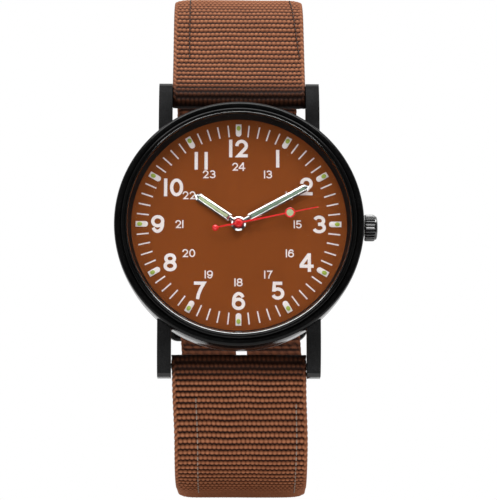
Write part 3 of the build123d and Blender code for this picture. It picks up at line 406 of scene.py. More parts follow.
def thicken(bm, faces, thickness):
    """Extrudes faces towards the viewer; returns the corners and the faces of the new front."""
    raised = bmesh.ops.extrude_face_region(bm, geom=faces)["geom"]
    corners = [item for item in raised if isinstance(item, bmesh.types.BMVert)]
    bmesh.ops.translate(bm, verts=corners, vec=(0, -thickness * mm, 0))
    return corners, [item for item in raised if isinstance(item, bmesh.types.BMFace)]


def polished_copy(node, name, body, slot, width, segments):
    """A merged copy of a CAD node with its edges rounded over, which stands for the node."""
    bm = bmesh.new()
    bm.from_mesh(nodes[node].data)
    bmesh.ops.remove_doubles(bm, verts=bm.verts, dist=0.002 * mm)
    flat, corner = math.radians(1.5), math.radians(28)
    bmesh.ops.dissolve_limit(bm, angle_limit=flat, verts=bm.verts, edges=bm.edges)
    edges = [e for e in bm.edges if len(e.link_faces) == 2 and e.calc_face_angle(0) > corner]
    shape = {"affect": "EDGES", "profile": 0.5, "material": -1, "clamp_overlap": True}
    bmesh.ops.bevel(bm, geom=edges, offset=width * mm, segments=segments, **shape)
    return keep(bm, name, body, slot, [node])


print("shape helpers ready")

# %% [markdown]
# ## Bezel
# The bezel is a turned ring with two rounded ridges and a groove between them.
# A lathe makes it, and so does Blender's spin: one profile, turned once round
# the watch's axis. The ridges are arcs of many points, because their highlight
# is the first thing seen on a glossy black ring.

# %% Turn the bezel
ridges = arc(19.6, 7.32, 0.65, 0.65, 0, 144, 14) + arc(18.72, 7.9975, 0.35, 0.35, -55, 178, 14)
bezel_profile = [(18.37, 5.52), (20.25, 5.52)] + ridges
keep(turned(bezel_profile, 200), "bezel_ring", "case", "bezel_steel", ["bezel"])

# %% [markdown]
# ## Case, lugs and lid
# These shapes are right in the construction model, but its edges are knife
# sharp, and no machined case is. A merged copy with a small bevel catches a
# line of light along each edge, which is how the eye reads metal. The turned
# wall and the ends of the lugs are polished, while the lugs' fronts are satin.

# %% Round the case's edges
case = polished_copy("case_body", "case_with_lugs", "case", "case_steel", width=0.14, segments=3)
gloss = surface("black_wall", grey(0.004), grey(0.012), (0.1, 0.18), 0.3, 0.001, ior=1.6)
case.data.materials.append(gloss)
wall_inside, wall_outside, lug_end = 19.6, 20.2, 24
polished = 0
for face in case.data.polygons:
    middle = face.center / mm
    wall = wall_inside < math.hypot(middle.x, middle.z) < wall_outside and abs(face.normal.y) < 0.8
    if wall or abs(middle.z) > lug_end:
        face.material_index = 1
        polished += 1
print("polished faces of the case:", polished)
polished_copy("case_back", "case_lid", "case", "steel", width=0.08, segments=2)

# %% [markdown]
# ## Crystal and its gasket
# The crystal is a flat disc with a fine bevel. A gasket holds it, and its lip
# slopes inwards all round the rim. Light from above therefore falls on the
# lower half of the lip, which shows as a thin bright line. That is why the lip
# has a smooth, metallic finish of its own.

# %% Turn the crystal and the gasket lip
crystal_profile = [(0, 7.40), (18.06, 7.40), (18.1, 7.44), (18.1, 8.34), (18.04, 8.4), (0, 8.4)]
keep(turned(crystal_profile, 160, closed=False), "crystal_disc", "case", "glass", ["crystal"], sharp=12)
lip_profile = [(18.12, 7.34), (18.35, 7.34), (18.35, 8.34), (18.33, 8.35), (18.12, 8.235)]
bright_lip = surface("gasket_lip", grey(0.16), (0.3, 0.3, 0.29), (0.12, 0.2), 0.3, 0.001, metallic=1.0)
keep(turned(lip_profile, 160), "crystal_gasket_lip", "case", "seal", ["crystal_gasket"], bright_lip, sharp=20)

# %% [markdown]
# ## Minute track
# Thin printed strokes run round the dial, one a minute, and every fifth place
# is left to the applied markers. Print is a film, so each stroke is a flat bar
# about a hundredth of a millimetre thick, turned into place about the centre.

# %% Print the minute track
ink = 0.012
stroke_half, track_inside, track_outside = 0.11, 14.63, 16.57
print_shift = -0.1


def bar(bm, x0, x1, z0, z1):
    """A flat upright bar of ink on the dial, given by its edges."""
    made = bmesh.ops.create_cube(bm, size=1)["verts"]
    bmesh.ops.scale(bm, vec=Vector((x1 - x0, ink, z1 - z0)) * mm, verts=made)
    middle = Vector(((x0 + x1) / 2, -dial_height - ink / 2, (z0 + z1) / 2))
    bmesh.ops.translate(bm, vec=middle * mm, verts=made)
    return made


def clock_turn(minutes):
    """A clockwise turn about the dial's centre, seen from the front."""
    return Matrix.Rotation(math.tau * minutes / 60, 3, "Y")


def shifted(bm):
    """Moves print and hands a little left: on this watch they sit off the case's centre."""
    bmesh.ops.translate(bm, verts=bm.verts, vec=(print_shift * mm, 0, 0))
    return bm


bm = bmesh.new()
for minute in range(60):
    if minute % 5:
        stroke = bar(bm, -stroke_half, stroke_half, track_inside, track_outside)
        bmesh.ops.rotate(bm, cent=(0, 0, 0), matrix=clock_turn(minute), verts=stroke)
keep(shifted(bm), "minute_track", "case", "marker_white", outward=False)

# %% [markdown]
# ## Numbers
# Twelve large hour numbers and, inside them, the small afternoon hours, all in
# a plain sans-serif face whose figure one is a bare bar. Each figure is a line
# of even width, as a sign painter draws it: arcs and straight runs in a box
# one wide and one high. A ribbon follows the line, and extrude gives it the
# thickness of the ink. Where two lines of a figure cross, the second is a hair
# thicker, because two faces in one place would flicker.

# %% Figures
whole, ink_step = 24, 0.002
figure_lines = {
    "0": [arc(0, 0, 0.5, 0.5, 90, 450, whole)],
    "2": [arc(0, 0.19, 0.48, 0.31, 184, -30) + [(-0.32, -0.5), (0.62, -0.5)]],
    "3": [
        arc(-0.02, 0.25, 0.45, 0.25, 160, -80) + [(-0.12, 0.01)],
        [(-0.12, 0.01)] + arc(-0.02, -0.235, 0.52, 0.265, 80, -162),
    ],
    "4": [[(0.25, 0.63), (0.25, -0.62)], [(0.68, -0.24), (-0.73, -0.24)], [(-0.59, -0.18), (0.22, 0.56)]],
    "5": [[(0.42, 0.5), (-0.36, 0.5), (-0.44, -0.06)], arc(-0.03, -0.19, 0.5, 0.31, 140, -160)],
    "6": [arc(0, -0.19, 0.5, 0.31, 90, 450, whole), arc(0.02, 0.0, 0.5, 0.5, 190, 30)],
    "7": [[(-0.5, 0.5), (0.5, 0.5), (0.18, 0.12), (-0.04, -0.24), (-0.14, -0.58)]],
    "8": [arc(0, 0.26, 0.43, 0.24, 90, 450, whole), arc(0, -0.24, 0.5, 0.26, 90, 450, whole)],
    "9": [arc(0, 0.19, 0.5, 0.31, 90, 450, whole), arc(-0.02, 0.0, 0.5, 0.5, 10, -150)],
}


def ribbon(bm, line, half, thickness):
    """A flat ribbon of even width along a line of (x, z) points, raised off the dial as ink."""
    spots = [Vector(point) for point in line]
    closed = (spots[0] - spots[-1]).length < 0.001
    if closed:
        spots.pop()
    rails = []
    for i, spot in enumerate(spots):
        before = spots[i - 1] if closed or i else None
        after = spots[(i + 1) % len(spots)] if closed or i < len(spots) - 1 else None
        runs = [(a, b) for a, b in ((before, spot), (spot, after)) if a is not None and b is not None]
        ways = [(b - a).normalized() for a, b in runs]
        way = sum(ways, Vector((0, 0))).normalized()
        side = Vector((-way.y, way.x)) * half / max(way.dot(ways[0]), 0.4)
        corners = (spot + side, spot - side)
        rails.append([bm.verts.new(Vector((p.x, -dial_height, p.y)) * mm) for p in corners])
    pairs = list(zip(rails, rails[1:])) + ([(rails[-1], rails[0])] if closed else [])
    thicken(bm, [bm.faces.new((a[0], a[1], b[1], b[0])) for a, b in pairs], thickness)


def number(bm, text, centre, height, width, stroke, gap):
    """Adds a number, centred on a place of the dial; two ones stand further apart."""
    gap = ones_apart * gap if text == "11" else gap
    widths = [stroke if sign == "1" else width for sign in text]
    left = centre[0] - (sum(widths) + gap * (len(text) - 1)) / 2
    for sign, wide in zip(text, widths):
        if sign == "1":
            bar(bm, left, left + stroke, centre[1] - height / 2, centre[1] + height / 2)
        inner, middle = (wide - stroke, height - stroke), left + wide / 2
        for layer, line in enumerate(figure_lines.get(sign, [])):
            spots = [(middle + x * inner[0], centre[1] + z * inner[1]) for x, z in line]
            ribbon(bm, spots, stroke / 2, ink + ink_step * layer)
        left += wide + gap


ones_apart = 2.45
hour_spread, side_spread, near_spread, hour_reach = 12.75, 13.1, 12.2, 12.65
small_reach, small_near = 9.6, 9.3
large, small = bmesh.new(), bmesh.new()
for hour in range(1, 13):
    angle = math.tau * hour / 12
    across, up = math.sin(angle), math.cos(angle)
    spread, reach = side_spread if hour in (3, 9) else hour_spread, hour_reach
    if hour in (10, 11):
        spread = reach = near_spread
    number(large, str(hour), (spread * across, reach * up), height=2.96, width=2.14, stroke=0.53, gap=0.44)
    spread = small_near if hour in (8, 10) else small_reach
    small_spot = (spread * across, small_reach * up)
    number(small, str(hour + 12), small_spot, height=1.32, width=0.97, stroke=0.195, gap=0.16)
keep(shifted(large), "hour_numbers", "case", "marker_white", outward=False)
keep(shifted(small), "afternoon_numbers", "case", "marker_white", outward=False)

# %% [markdown]
# ## Hour markers
# Each hour carries a small applied plate, square at the rim and round towards
# the centre, with a drop of luminous paint near its outer end. A plate starts
# as a circle whose outer half is moved out and squared; extrude gives it its
# thickness and bevel its softened edge.

# %% Plates and pips
plate_half, plate_length, plate_spot, plate_thick = 0.46, 1.57, 15.12, 0.11
pip_radius, pip_spot = 0.36, 16.02
plates, pips = bmesh.new(), bmesh.new()
for hour in range(12):
    ring = bmesh.ops.create_circle(plates, cap_ends=True, segments=24, radius=plate_half * mm)["verts"]
    for v in ring:
        across, up = v.co.x / mm, v.co.y / mm
        if up > 0:
            across = math.copysign(plate_half, across) if abs(across) > 0.01 else across
            up = plate_length
        v.co = Vector((across, -dial_height, up + plate_spot)) * mm
    face = next(f for f in plates.faces if set(f.verts) == set(ring))
    top = thicken(plates, [face], plate_thick)[0]
    bmesh.ops.rotate(plates, cent=(0, 0, 0), matrix=clock_turn(hour * 5), verts=ring + top)

    drop = bmesh.ops.create_uvsphere(pips, u_segments=14, v_segments=6, radius=pip_radius * mm)["verts"]
    bmesh.ops.scale(pips, verts=drop, vec=(1, 0.22, 1.18))
    bmesh.ops.translate(pips, verts=drop, vec=Vector((0, -dial_height - plate_thick, pip_spot)) * mm)
    bmesh.ops.rotate(pips, cent=(0, 0, 0), matrix=clock_turn(hour * 5), verts=drop)
bmesh.ops.remove_doubles(plates, verts=plates.verts, dist=0.002 * mm)
rims = [e for e in plates.edges if all(v.co.y < -(dial_height + 0.9 * plate_thick) * mm for v in e.verts)]
bmesh.ops.bevel(plates, geom=rims, offset=0.03 * mm, segments=2, affect="EDGES", profile=0.5, material=-1)
keep(shifted(plates), "marker_plates", "case", "marker_white", ["hour_marker_plates"])
keep(shifted(pips), "marker_pips", "case", "lume_green", ["hour_marker_pips"], pip_lume)

# %% [markdown]
# ## Hour and minute hands
# A hand is a pressed strip with two polished slopes along its length: the one
# towards the light is bright, the other dark. Between them lies a sunk window
# of luminous paint. The outline is one polygon; insets make the slopes and the
# window's edge. A slope rises by about half its width, so that the one towards
# the light mirrors the lamp above. The hub is a turned ring with a groove.

# %% Hands
def strip(bm, outline, foot, thickness):
    """A flat strip from an outline of (along, across) points on one side; returns its top face."""
    line = outline + [(along, -across) for along, across in reversed(outline) if across]
    verts = [bm.verts.new(Vector((across, -foot, along)) * mm) for along, across in line]
    return thicken(bm, [bm.faces.new(verts)], thickness)[1][0]


def sink(bm, face, thickness, depth):
    """Insets a face and moves it outwards by depth; a negative depth makes a recess."""
    bmesh.ops.inset_region(bm, faces=[face], thickness=thickness * mm, depth=0)
    bmesh.ops.translate(bm, verts=face.verts, vec=(0, -depth * mm, 0))


edge, rim, wall, recess = 0.06, 0.015, 0.06, 0.03
slope_rise, tip_share = 0.52, 0.55
neck_half, neck_edge, neck_slope, neck_rise = 0.33, 0.05, 0.2, 0.09
paint_foot, paint_edge, paint_round, paint_rise = 0.14, 0.05, 0.05, 0.02
hub_floor, hub_top = 0.12, 0.165


def blade(bm, start, end, half, foot, thickness):
    """A strip with a pointed end, from start to end along the hand."""
    tip = 2 * tip_share * half
    return strip(bm, [(start, half), (end - tip, half), (end, 0)], foot, thickness)


def hand(node, body, clock, foot, hub, start, length, width, opening, paint):
    """A bevelled blade with a sunk window, its neck and its hub; clock is in degrees."""
    turn = Matrix.Rotation(math.radians(clock), 3, "Y")
    slope = (width - opening) / 2 - (rim + wall)
    bm = bmesh.new()
    face = blade(bm, start, length, width / 2, foot, edge)
    sink(bm, face, slope, slope_rise * slope)
    sink(bm, face, rim, 0)
    sink(bm, face, wall, -recess)
    face = strip(bm, [(hub - 0.3, neck_half), (start + 0.25, neck_half)], foot, neck_edge)
    sink(bm, face, neck_slope, neck_rise)
    bmesh.ops.rotate(bm, cent=(0, 0, 0), matrix=turn, verts=bm.verts)
    keep(shifted(bm), node + "_blade", body, "hand_chrome", [node], sharp=12)

    bm = bmesh.new()
    first, last = start + (width - opening) / 2, length - 0.9 * (width - opening)
    face = blade(bm, first, last, opening / 2, foot + paint_foot, paint_edge)
    sink(bm, face, paint_round, paint_rise)
    bmesh.ops.rotate(bm, cent=(0, 0, 0), matrix=turn, verts=bm.verts)
    keep(shifted(bm), node + "_window", body, "lume_green", [node + "_lume"], paint)

    bottom, top = foot + hub_floor, foot + hub_top
    ring = [(0, foot), (hub, foot), (hub, foot + edge), (hub - 0.2, top), (hub - 0.23, top)]
    ring += [(hub - 0.32, bottom), (hub - 0.4, bottom), (0, bottom)]
    keep(shifted(turned(ring, 72, closed=False)), node + "_hub", body, "hand_chrome", sharp=12)


hour = {"clock": 304.2, "foot": 6.15, "hub": 1.16, "start": 1.75, "length": 8.6}
minute = {"clock": 61.4, "foot": 6.5, "hub": 1.14, "start": 1.95, "length": 13.1}
hand("hour_hand", "hours", **hour, width=1.3, opening=0.5, paint=finish["lume_green"])
hand("minute_hand", "minutes", **minute, width=1.2, opening=0.46, paint=aged_lume)

# %% [markdown]
# ## Second hand
# A red lacquered needle with a ball at its tail, a ring of luminous paint along
# its length and a domed cap over the pivot. The needle is a tapered bar, the
# others are turned.

# %% Second hand
foot, clock = 6.85, 78.2
needle_thick, needle_edge, needle_crown = 0.13, 0.04, 0.03
ring_spot, ball_spot = 8.5, -3.85
turn = Matrix.Rotation(math.radians(clock), 3, "Y")


def along_second(distance):
    """A place on the second hand's line, in millimetres, as x, y and z."""
    spot = turn @ Vector((0, 0, distance))
    return (spot.x, 0, spot.z)


bm = bmesh.new()
face = strip(bm, [(-3.9, 0.1), (0, 0.15), (13.2, 0.08)], foot, needle_thick)
sink(bm, face, needle_edge, needle_crown)
bmesh.ops.rotate(bm, cent=(0, 0, 0), matrix=turn, verts=bm.verts)
keep(shifted(bm), "second_hand_needle", "seconds", "hand_red", ["second_hand"])

ring = [(0.56, foot), (0.84, foot)] + arc(0.71, foot + 0.1, 0.14, 0.14, 0, 180, 8)
bm = shifted(turned(ring, 48, centre=along_second(ring_spot)))
keep(bm, "second_hand_ring", "seconds", "hand_red")
dot = [(0, foot + 0.01), (0.58, foot + 0.01), (0.58, foot + 0.16), (0.45, foot + 0.19), (0, foot + 0.2)]
bm = shifted(turned(dot, 40, centre=along_second(ring_spot), closed=False))
keep(bm, "second_hand_dot", "seconds", "lume_green", ["second_hand_lume"])
ball = [(0, foot - 0.1), (0.5, foot - 0.1)] + arc(0, foot - 0.1, 0.54, 0.54, 5, 90)
bm = shifted(turned(ball, 40, centre=along_second(ball_spot), closed=False))
keep(bm, "second_hand_ball", "seconds", "hand_red")
cap = [(0, foot - 0.05), (0.68, foot - 0.05)] + arc(0.24, foot - 0.06, 0.46, 0.46, 5, 90)
cap += [(0.14, foot + 0.4), (0.1, foot + 0.28), (0, foot + 0.28)]
keep(shifted(turned(cap, 64, closed=False)), "second_hand_cap", "seconds", "hand_red")

# %% [markdown]
# ## Crown
# The crown is a small knurled knob. Its outline is turned about the stem's
# axis, and then every point of the grip is drawn in between the flutes by a
# cosine, which is how a rolled knurl looks. The knob stands a tenth of a
# millimetre further out than in the construction model, as in the photograph.

# %% Crown
stem_height, flutes, crown_shift = 3.6, 26, 0.12
flute_foot, flute_depth, flute_fade = 1.95, 0.15, 0.15
crown_profile = [(20.32, 1.4), (20.32, 1.98), (20.42, 2.12), (20.6, 2.18), (21.7, 2.18), (21.95, 2.1)]
crown_profile += [(22.02, 1.98), (22.02, 1.9), (22.2, 1.93), (22.3, 1.86)]
crown_profile += [(22.42, 1.5), (22.5, 0.9), (22.54, 0)]
bm = spun([(x, 0, r) for x, r in crown_profile], (1, 0, 0), flutes * 10, closed=False)
for v in bm.verts:
    reach = math.hypot(v.co.y, v.co.z) / mm
    if reach > flute_foot:
        wave = 0.5 - 0.5 * math.cos(flutes * math.atan2(v.co.z, v.co.y))
        dip = flute_depth * wave**0.7 * min(1, (reach - flute_foot) / flute_fade)
        v.co.y *= 1 - dip / reach
        v.co.z *= 1 - dip / reach
bmesh.ops.translate(bm, verts=bm.verts, vec=Vector((crown_shift, -stem_height, 0)) * mm)
keep(bm, "crown_knob", "crown", "case_steel", ["crown"], finish["crown_coating"])

# %% [markdown]
# ## Strap halves
# Each half leaves its spring bar, leans out, rounds the wrist and lies flat
# across the back. It is woven, so the ribs are real bumps: a grid is wrapped
# round the strap's thickness and laid along its centre line, and every vertex
# is pushed out by the height of the weave there. The same height goes into the
# attribute that the finish reads, so that its tones lie on the ribs. That
# attribute is lowered at the fold by the spring bar and on the strap's back,
# which paints shade there.

# %% The strap's centre line
bar_depth = 1.6
bar_spot = Vector((-bar_depth, 22.5))
lean, front_bend, back_bend, side_run = math.radians(25), 13.0, 20.0, 4.97


def centre_line(legs, distance, start=bar_spot, heading=lean):
    """The place, as (y, z), and the outward direction at a distance along a chain of legs.

    A leg is (length, 0) for a straight run or (radius, turn) for a bend.
    """
    spot = start.copy()
    for leg, (size, bend) in enumerate(legs):
        length = size * bend if bend else size
        last = leg == len(legs) - 1
        step = distance if last or distance < length else length
        outward = Vector((-math.cos(heading), math.sin(heading)))
        if bend:
            centre = spot - size * outward
            heading += step / size
            spot = centre + size * Vector((-math.cos(heading), math.sin(heading)))
        else:
            spot = spot + step * Vector((math.sin(heading), math.cos(heading)))
        distance -= step
        if distance <= 0:
            break
    return spot, Vector((-math.cos(heading), math.sin(heading)))


upper_run, lower_run, layer_step, long_enough = 15.2, 11.4, 2.15, 80
front_rise = front_bend * math.cos(lean) - bar_depth
short_depth = upper_run * math.sin(lean) + front_rise + side_run + back_bend
long_depth = short_depth + layer_step
lower_side = long_depth - back_bend - lower_run * math.sin(lean) - front_rise
quarter = math.pi / 2


def half_route(run, side_length):
    """The legs of one half: out from the bar, round the front, down the side, and across the back."""
    bends = [(front_bend, quarter - lean), (side_length, 0), (back_bend, quarter)]
    return [(run, 0), *bends, (long_enough, 0)]


upper_legs, lower_legs = half_route(upper_run, side_run), half_route(lower_run, lower_side)
print("depths in mm:", round(short_depth, 2), round(long_depth, 2))

# %% Weave heights
half_width, half_thick, rib_height = 10.9, 1.0, 0.3
rib_pitch, loop_pitch, usual_reach = 1.0, 0.74, 0.42
loop_half, loop_round = 0.4, 0.62


def weave(across, along, reach=usual_reach):
    """The weave's height, from 0 in a gap to 1 on a loop, at a place in millimetres.

    A loop reaches that share of the rib's pitch to each side, so a larger reach closes the gaps.
    """
    along += 0.1 * noise.noise(Vector((across * 0.25, along * 0.1, 3.0)))
    row, rise = divmod(along / rib_pitch, 1)
    across += 0.06 * noise.noise(Vector((across * 0.4, row * 0.7, 5.0)))
    place_in_row = across / loop_pitch + 0.5 * (row % 2)
    loop, share = divmod(place_in_row, 1)
    size = 1 + 0.1 * noise.noise(Vector((loop * 1.7, row * 1.3, 8.0)))
    sideways = (share - 0.5) * loop_pitch / loop_half
    upward = (rise - 0.5) * rib_pitch / (reach * size)
    return max(0.0, 1 - loop_round * sideways**2 - upward**2)


def smooth_step(low, high, value):
    """Climbs gently from 0 at low to 1 at high."""
    share = min(max((value - low) / (high - low), 0), 1)
    return share * share * (3 - 2 * share)


print("height of a loop and of a gap:", weave(0.37, 0.5), weave(0.37, 1.0))

# %% [markdown]
# The section of the strap is a flat loop: the face, a rounded edge, the back
# and the other edge. Its columns are closer on the face, which shows, than on
# the back. The rows are close where the strap can be seen from the front. The
# thick fold round the spring bar thins out over seven millimetres. Where the
# strap turns back round the wrist its edges cup inwards a little, as a worn
# strap's do, and its selvedges carry a twisted cord in place of the loops.

# %% Strap section
fold, fold_run, edge_swell = 1.85, 7.0, 0.15
face_columns, edge_columns, back_columns = 150, 6, 44
columns = face_columns + back_columns + 2 * edge_columns


def section(column):
    """A column's place round the strap: across, level from -1 (back) to 1 (face)."""
    if column <= face_columns:
        return -half_width + 2 * half_width * column / face_columns, 1.0
    column -= face_columns
    if column <= edge_columns:
        turn = math.pi * column / edge_columns
        return half_width + edge_swell * math.sin(turn), math.cos(turn)
    column -= edge_columns
    if column <= back_columns:
        return half_width - 2 * half_width * column / back_columns, -1.0
    turn = math.pi * (column - back_columns) / edge_columns
    return -half_width - edge_swell * math.sin(turn), -math.cos(turn)


def half_thickness(along, length=math.inf):
    """Half the strap's thickness: a thick fold at the bar and a rounded far end."""
    if along < 0:
        return math.sqrt(max(fold**2 - along**2, 0))
    half = fold + (half_thick - fold) * min(along / fold_run, 1)
    left = min(max(length - along, 0), 1)
    return half * math.sqrt(1 - (1 - left) ** 2)


def strap_half(name, node, legs, side, length, drift, cutting, slim, close, tail=0.0, pin_loop=False):
    """Lays a woven grid along a chain of legs; side is 1 for the upper half and -1 for the lower.

    drift moves it sideways, cutting opens it, slim narrows it, close is the reach of its loops,
    tail is the length of a round end and pin_loop swells the end round the buckle's bar.
    """
    near, fine, coarse, end_rows, end_run = 46.0, 0.2, 0.4, 6, 2.4
    selvedge_from, selvedge_to, cup_depth, loop_radius, loop_run = 10.35, 10.6, 0.6, 1.5, 5.1
    close_rows = round((near + fold) / fine)
    rows = close_rows + round((length - near) / coarse)
    bm = bmesh.new()
    bmesh.ops.create_grid(bm, x_segments=columns, y_segments=rows, size=0.5)
    height = bm.verts.layers.float.new("weave")
    for v in bm.verts:
        column = round((v.co.x + 0.5) * columns)
        row = (v.co.y + 0.5) * rows
        along = -fold + row * fine
        if row > close_rows:
            along = near + (row - close_rows) * (length - near) / (rows - close_rows)
        if rows - row < end_rows:
            along = length - end_run * (1 - math.cos((rows - row) / end_rows * quarter))
        across, level = section(column)
        selvedge = smooth_step(selvedge_from, selvedge_to, abs(across))
        woven = weave(across, along, usual_reach + (close - usual_reach) * smooth_step(3, 7, along))
        cord = 0.62 + 0.3 * math.sin(math.tau * (along / rib_pitch + 0.9 * across))
        woven += (cord - woven) * selvedge
        spot, outward = centre_line(legs, max(along, 0))
        if along < 0:
            spot = spot + Vector((math.sin(lean), math.cos(lean))) * along
        half = half_thickness(along, length)
        thin = min(half, 1)
        left = length - along
        swell = 1 - smooth_step(loop_radius, loop_run, left) if pin_loop else 0
        if swell:
            round_end = max(1 - left / loop_radius, 0)
            half = (half_thick + (loop_radius - half_thick) * swell) * math.sqrt(max(1 - round_end**2, 0))
        sag = 0.08 * noise.noise(Vector((across * 0.09, along * 0.07, 11.0 * side))) - 0.08
        bend = smooth_step(16, 30, along) * (1 - smooth_step(46, 62, along))
        cup = cup_depth * bend * abs(across / half_width) ** 12
        ribbed = half - rib_height * thin * (1 - woven)
        reach = level * ribbed + sag * (level > 0) * thin - cup - (loop_radius - half_thick) * swell
        y, z = spot + outward * reach
        narrow = slim
        if tail and left < tail:
            narrow *= math.sqrt(max(1 - (1 - left / tail) ** 2, 0.0001))
        edge = 1 - 0.012 * (1 - woven) * selvedge
        v.co = Vector((across * edge * narrow + drift(along, side * z), y, side * z)) * mm
        # Near the spring bar the weave attribute is lowered: painted shadow of the case on the fold.
        fold_shade = 0.25 + 0.75 * smooth_step(-0.5, 3.0, along)
        # On the strap's back the attribute is cut to 0.45: painted shade where the light is blocked.
        v[height] = woven * fold_shade * (0.45 if level < 0 else 1)
    bmesh.ops.remove_doubles(bm, verts=bm.verts, dist=0.003 * mm)
    cutting(bm)
    return keep(bm, name, "case", "webbing", [node], sharp=80)


def length_to_flat(legs, far):
    """The length of a chain whose last leg runs along the back from its bend to z = far."""
    bends = sum(size * bend if bend else size for size, bend in legs[:-1])
    return bends + centre_line(legs, bends + 0.001)[0].y - far


upper_end, lower_end = 0.5, -25.5
upper_length = length_to_flat(upper_legs, upper_end)
lower_length = length_to_flat(lower_legs, lower_end)
print("strap lengths in mm:", round(upper_length, 1), round(lower_length, 1))


def no_drift(along, z):
    """The upper half lies straight."""
    return 0.0


def lower_drift(along, z):
    """The lower half lies a little to the right, most of all where it turns under the wrist."""
    steps = ((0.08, -1, 2), (0.36, 2, 14), (0.6, 14, 60))
    return sum(push * smooth_step(low, high, along) for push, low, high in steps) * smooth_step(2, -18, z)


# %% [markdown]
# ## Cuts in the webbing
# The lower half has seven slots for the buckle's tongue, melted through with a
# hot punch. The upper half ends in a loop round the buckle's bar, with a slot
# where the tongue turns. Both cuts take faces out of both sides and close the
# wall between them.

# %% Cuts
behind_wrist, on_the_back = 38, 90


def seal(bm, verts):
    """The weave is flat where the cloth was melted."""
    for v in verts:
        v[bm.verts.layers.float["weave"]] = 0.3


def punch_holes(bm):
    """Seven rounded slots through both sides of the part behind the wrist."""
    first, pitch, straight, radius, holes = -19.4, 6.5, 1.1, 1.0, 7

    def hole(spot):
        """Which hole is nearest."""
        return min(max(round((spot.z / mm - first) / pitch), 0), holes - 1)

    def offset(spot):
        """The way from the middle line of the nearest hole, in millimetres."""
        x = spot.x / mm - lower_drift(on_the_back, spot.z / mm)
        z = spot.z / mm - first - pitch * hole(spot)
        return Vector((x, 0, z - min(max(z, -straight), straight)))

    gone = []
    for face in bm.faces:
        middle = face.calc_center_median()
        if middle.y > 42 * mm and abs(middle.x) < 2.5 * mm and offset(middle).length < radius - 0.05:
            gone.append(face)
    bmesh.ops.delete(bm, geom=gone, context="FACES")
    rim = [e for e in bm.edges if e.is_boundary and e.verts[0].co.y > behind_wrist * mm]
    verts = {v for e in rim for v in e.verts}
    for v in verts:
        away = offset(v.co)
        v.co += (away.normalized() * radius - away) * mm
    for which in range(holes):
        bmesh.ops.bridge_loops(bm, edges=[e for e in rim if hole(e.verts[0].co) == which])
    seal(bm, verts)
    print("faces punched out:", len(gone))


def open_slot(bm):
    """A slot at the end of the upper half: the middle columns are gathered to its two walls."""
    half, top, hair = 1.3 * mm, 5.6 * mm, 0.002 * mm
    middle = [v for v in bm.verts if v.co.y > behind_wrist * mm and v.co.z < top and abs(v.co.x) < half]
    for v in middle:
        v.co.x = math.copysign(half, v.co.x)
    bmesh.ops.remove_doubles(bm, verts=middle, dist=0.003 * mm)
    across = []
    for face in bm.faces:
        spot = face.calc_center_median()
        on_walls = all(abs(abs(v.co.x) - half) < 0.01 * mm for v in face.verts)
        if spot.y > behind_wrist * mm and spot.z < top and on_walls:
            across.append(face)
    bmesh.ops.delete(bm, geom=across, context="FACES")
    rim = {v for e in bm.edges if e.is_boundary for v in e.verts if v.co.y > behind_wrist * mm}
    for side in (-1, 1):
        wall = sorted((v for v in rim if v.co.x * side > 0), key=lambda v: (round(v.co.z / mm, 3), v.co.y))
        rungs = [[v for v in wall if abs(v.co.z - z) < hair] for z in sorted({v.co.z for v in wall})]
        rungs = [rung for i, rung in enumerate(rungs) if not i or rung != rungs[i - 1]]
        for low, high in zip(rungs, rungs[1:]):
            bm.faces.new(low + high[::-1])
    highest = sorted(rim, key=lambda v: (-round(v.co.z / mm, 3), v.co.x, v.co.y))[:4]
    bm.faces.new(highest[:2] + highest[:1:-1])
    seal(bm, rim)
    print("faces taken out of the slot:", len(across))


upper = {"drift": no_drift, "cutting": open_slot, "slim": 1.0, "close": 0.46, "pin_loop": True}
lower = {"drift": lower_drift, "cutting": punch_holes, "slim": 0.99, "close": 0.44, "tail": 7.5}
strap_half("strap_upper_woven", "strap_upper", upper_legs, 1, upper_length, **upper)
strap_half("strap_lower_woven", "strap_lower", lower_legs, -1, lower_length, **lower)

# %% [markdown]
# ## Stitching
# A line of thread, dark above and pale below, runs down each side of both
# halves and dips under every rib. Each stitch is a small stretched ball, one to
# a rib, laid on the face.

# %% Stitches
def stitches(name, legs, side, lines, drift, yarn):
    """Rows of stitches; a line is (across at its start, across at its end, from, to)."""
    thread_half, stitch_half, bedded = 0.12, 0.4, 0.06
    bm = bmesh.new()
    for first, last, begin, end in lines:
        for count in range(round((end - begin) / rib_pitch)):
            along = begin + (count + 0.5) * rib_pitch
            across = first + (last - first) * count * rib_pitch / (end - begin)
            spot, outward = centre_line(legs, along)
            seam = bmesh.ops.create_uvsphere(bm, u_segments=8, v_segments=6, radius=1)["verts"]
            y, z = spot + outward * (half_thickness(along) - bedded)
            onward = Vector((0, outward.y, -side * outward.x))
            upward = Vector((0, outward.x, side * outward.y))
            for v in seam:
                sideways = Vector((v.co.x * thread_half, 0, 0))
                v.co = (sideways + upward * v.co.y * thread_half + onward * v.co.z * stitch_half) * mm
            where = Vector((across + drift(along, side * z), y, side * z))
            bmesh.ops.translate(bm, verts=seam, vec=where * mm)
    return keep(bm, name, "case", "webbing", (), yarn)


stitches("stitches_upper", upper_legs, 1, [(-8.3, -8.3, 8, 24), (10.1, 8.7, 8, 24)], no_drift, dark_thread)
stitches("stitches_lower", lower_legs, -1, [(-7.1, -7.1, 5, 27), (9.15, 8.85, 6, 27)], lower_drift, thread)

# %% [markdown]
# ## Keepers and buckle
# The keepers are short loops of the same webbing. Each is a grid wrapped round
# a rounded rectangle, so its weave runs round the loop as on the real one, and
# only its outside is ribbed. The buckle's parts are right in the construction
# model and take the same softened edges as the case.

# %% Keepers
keeper_relief = 0.12


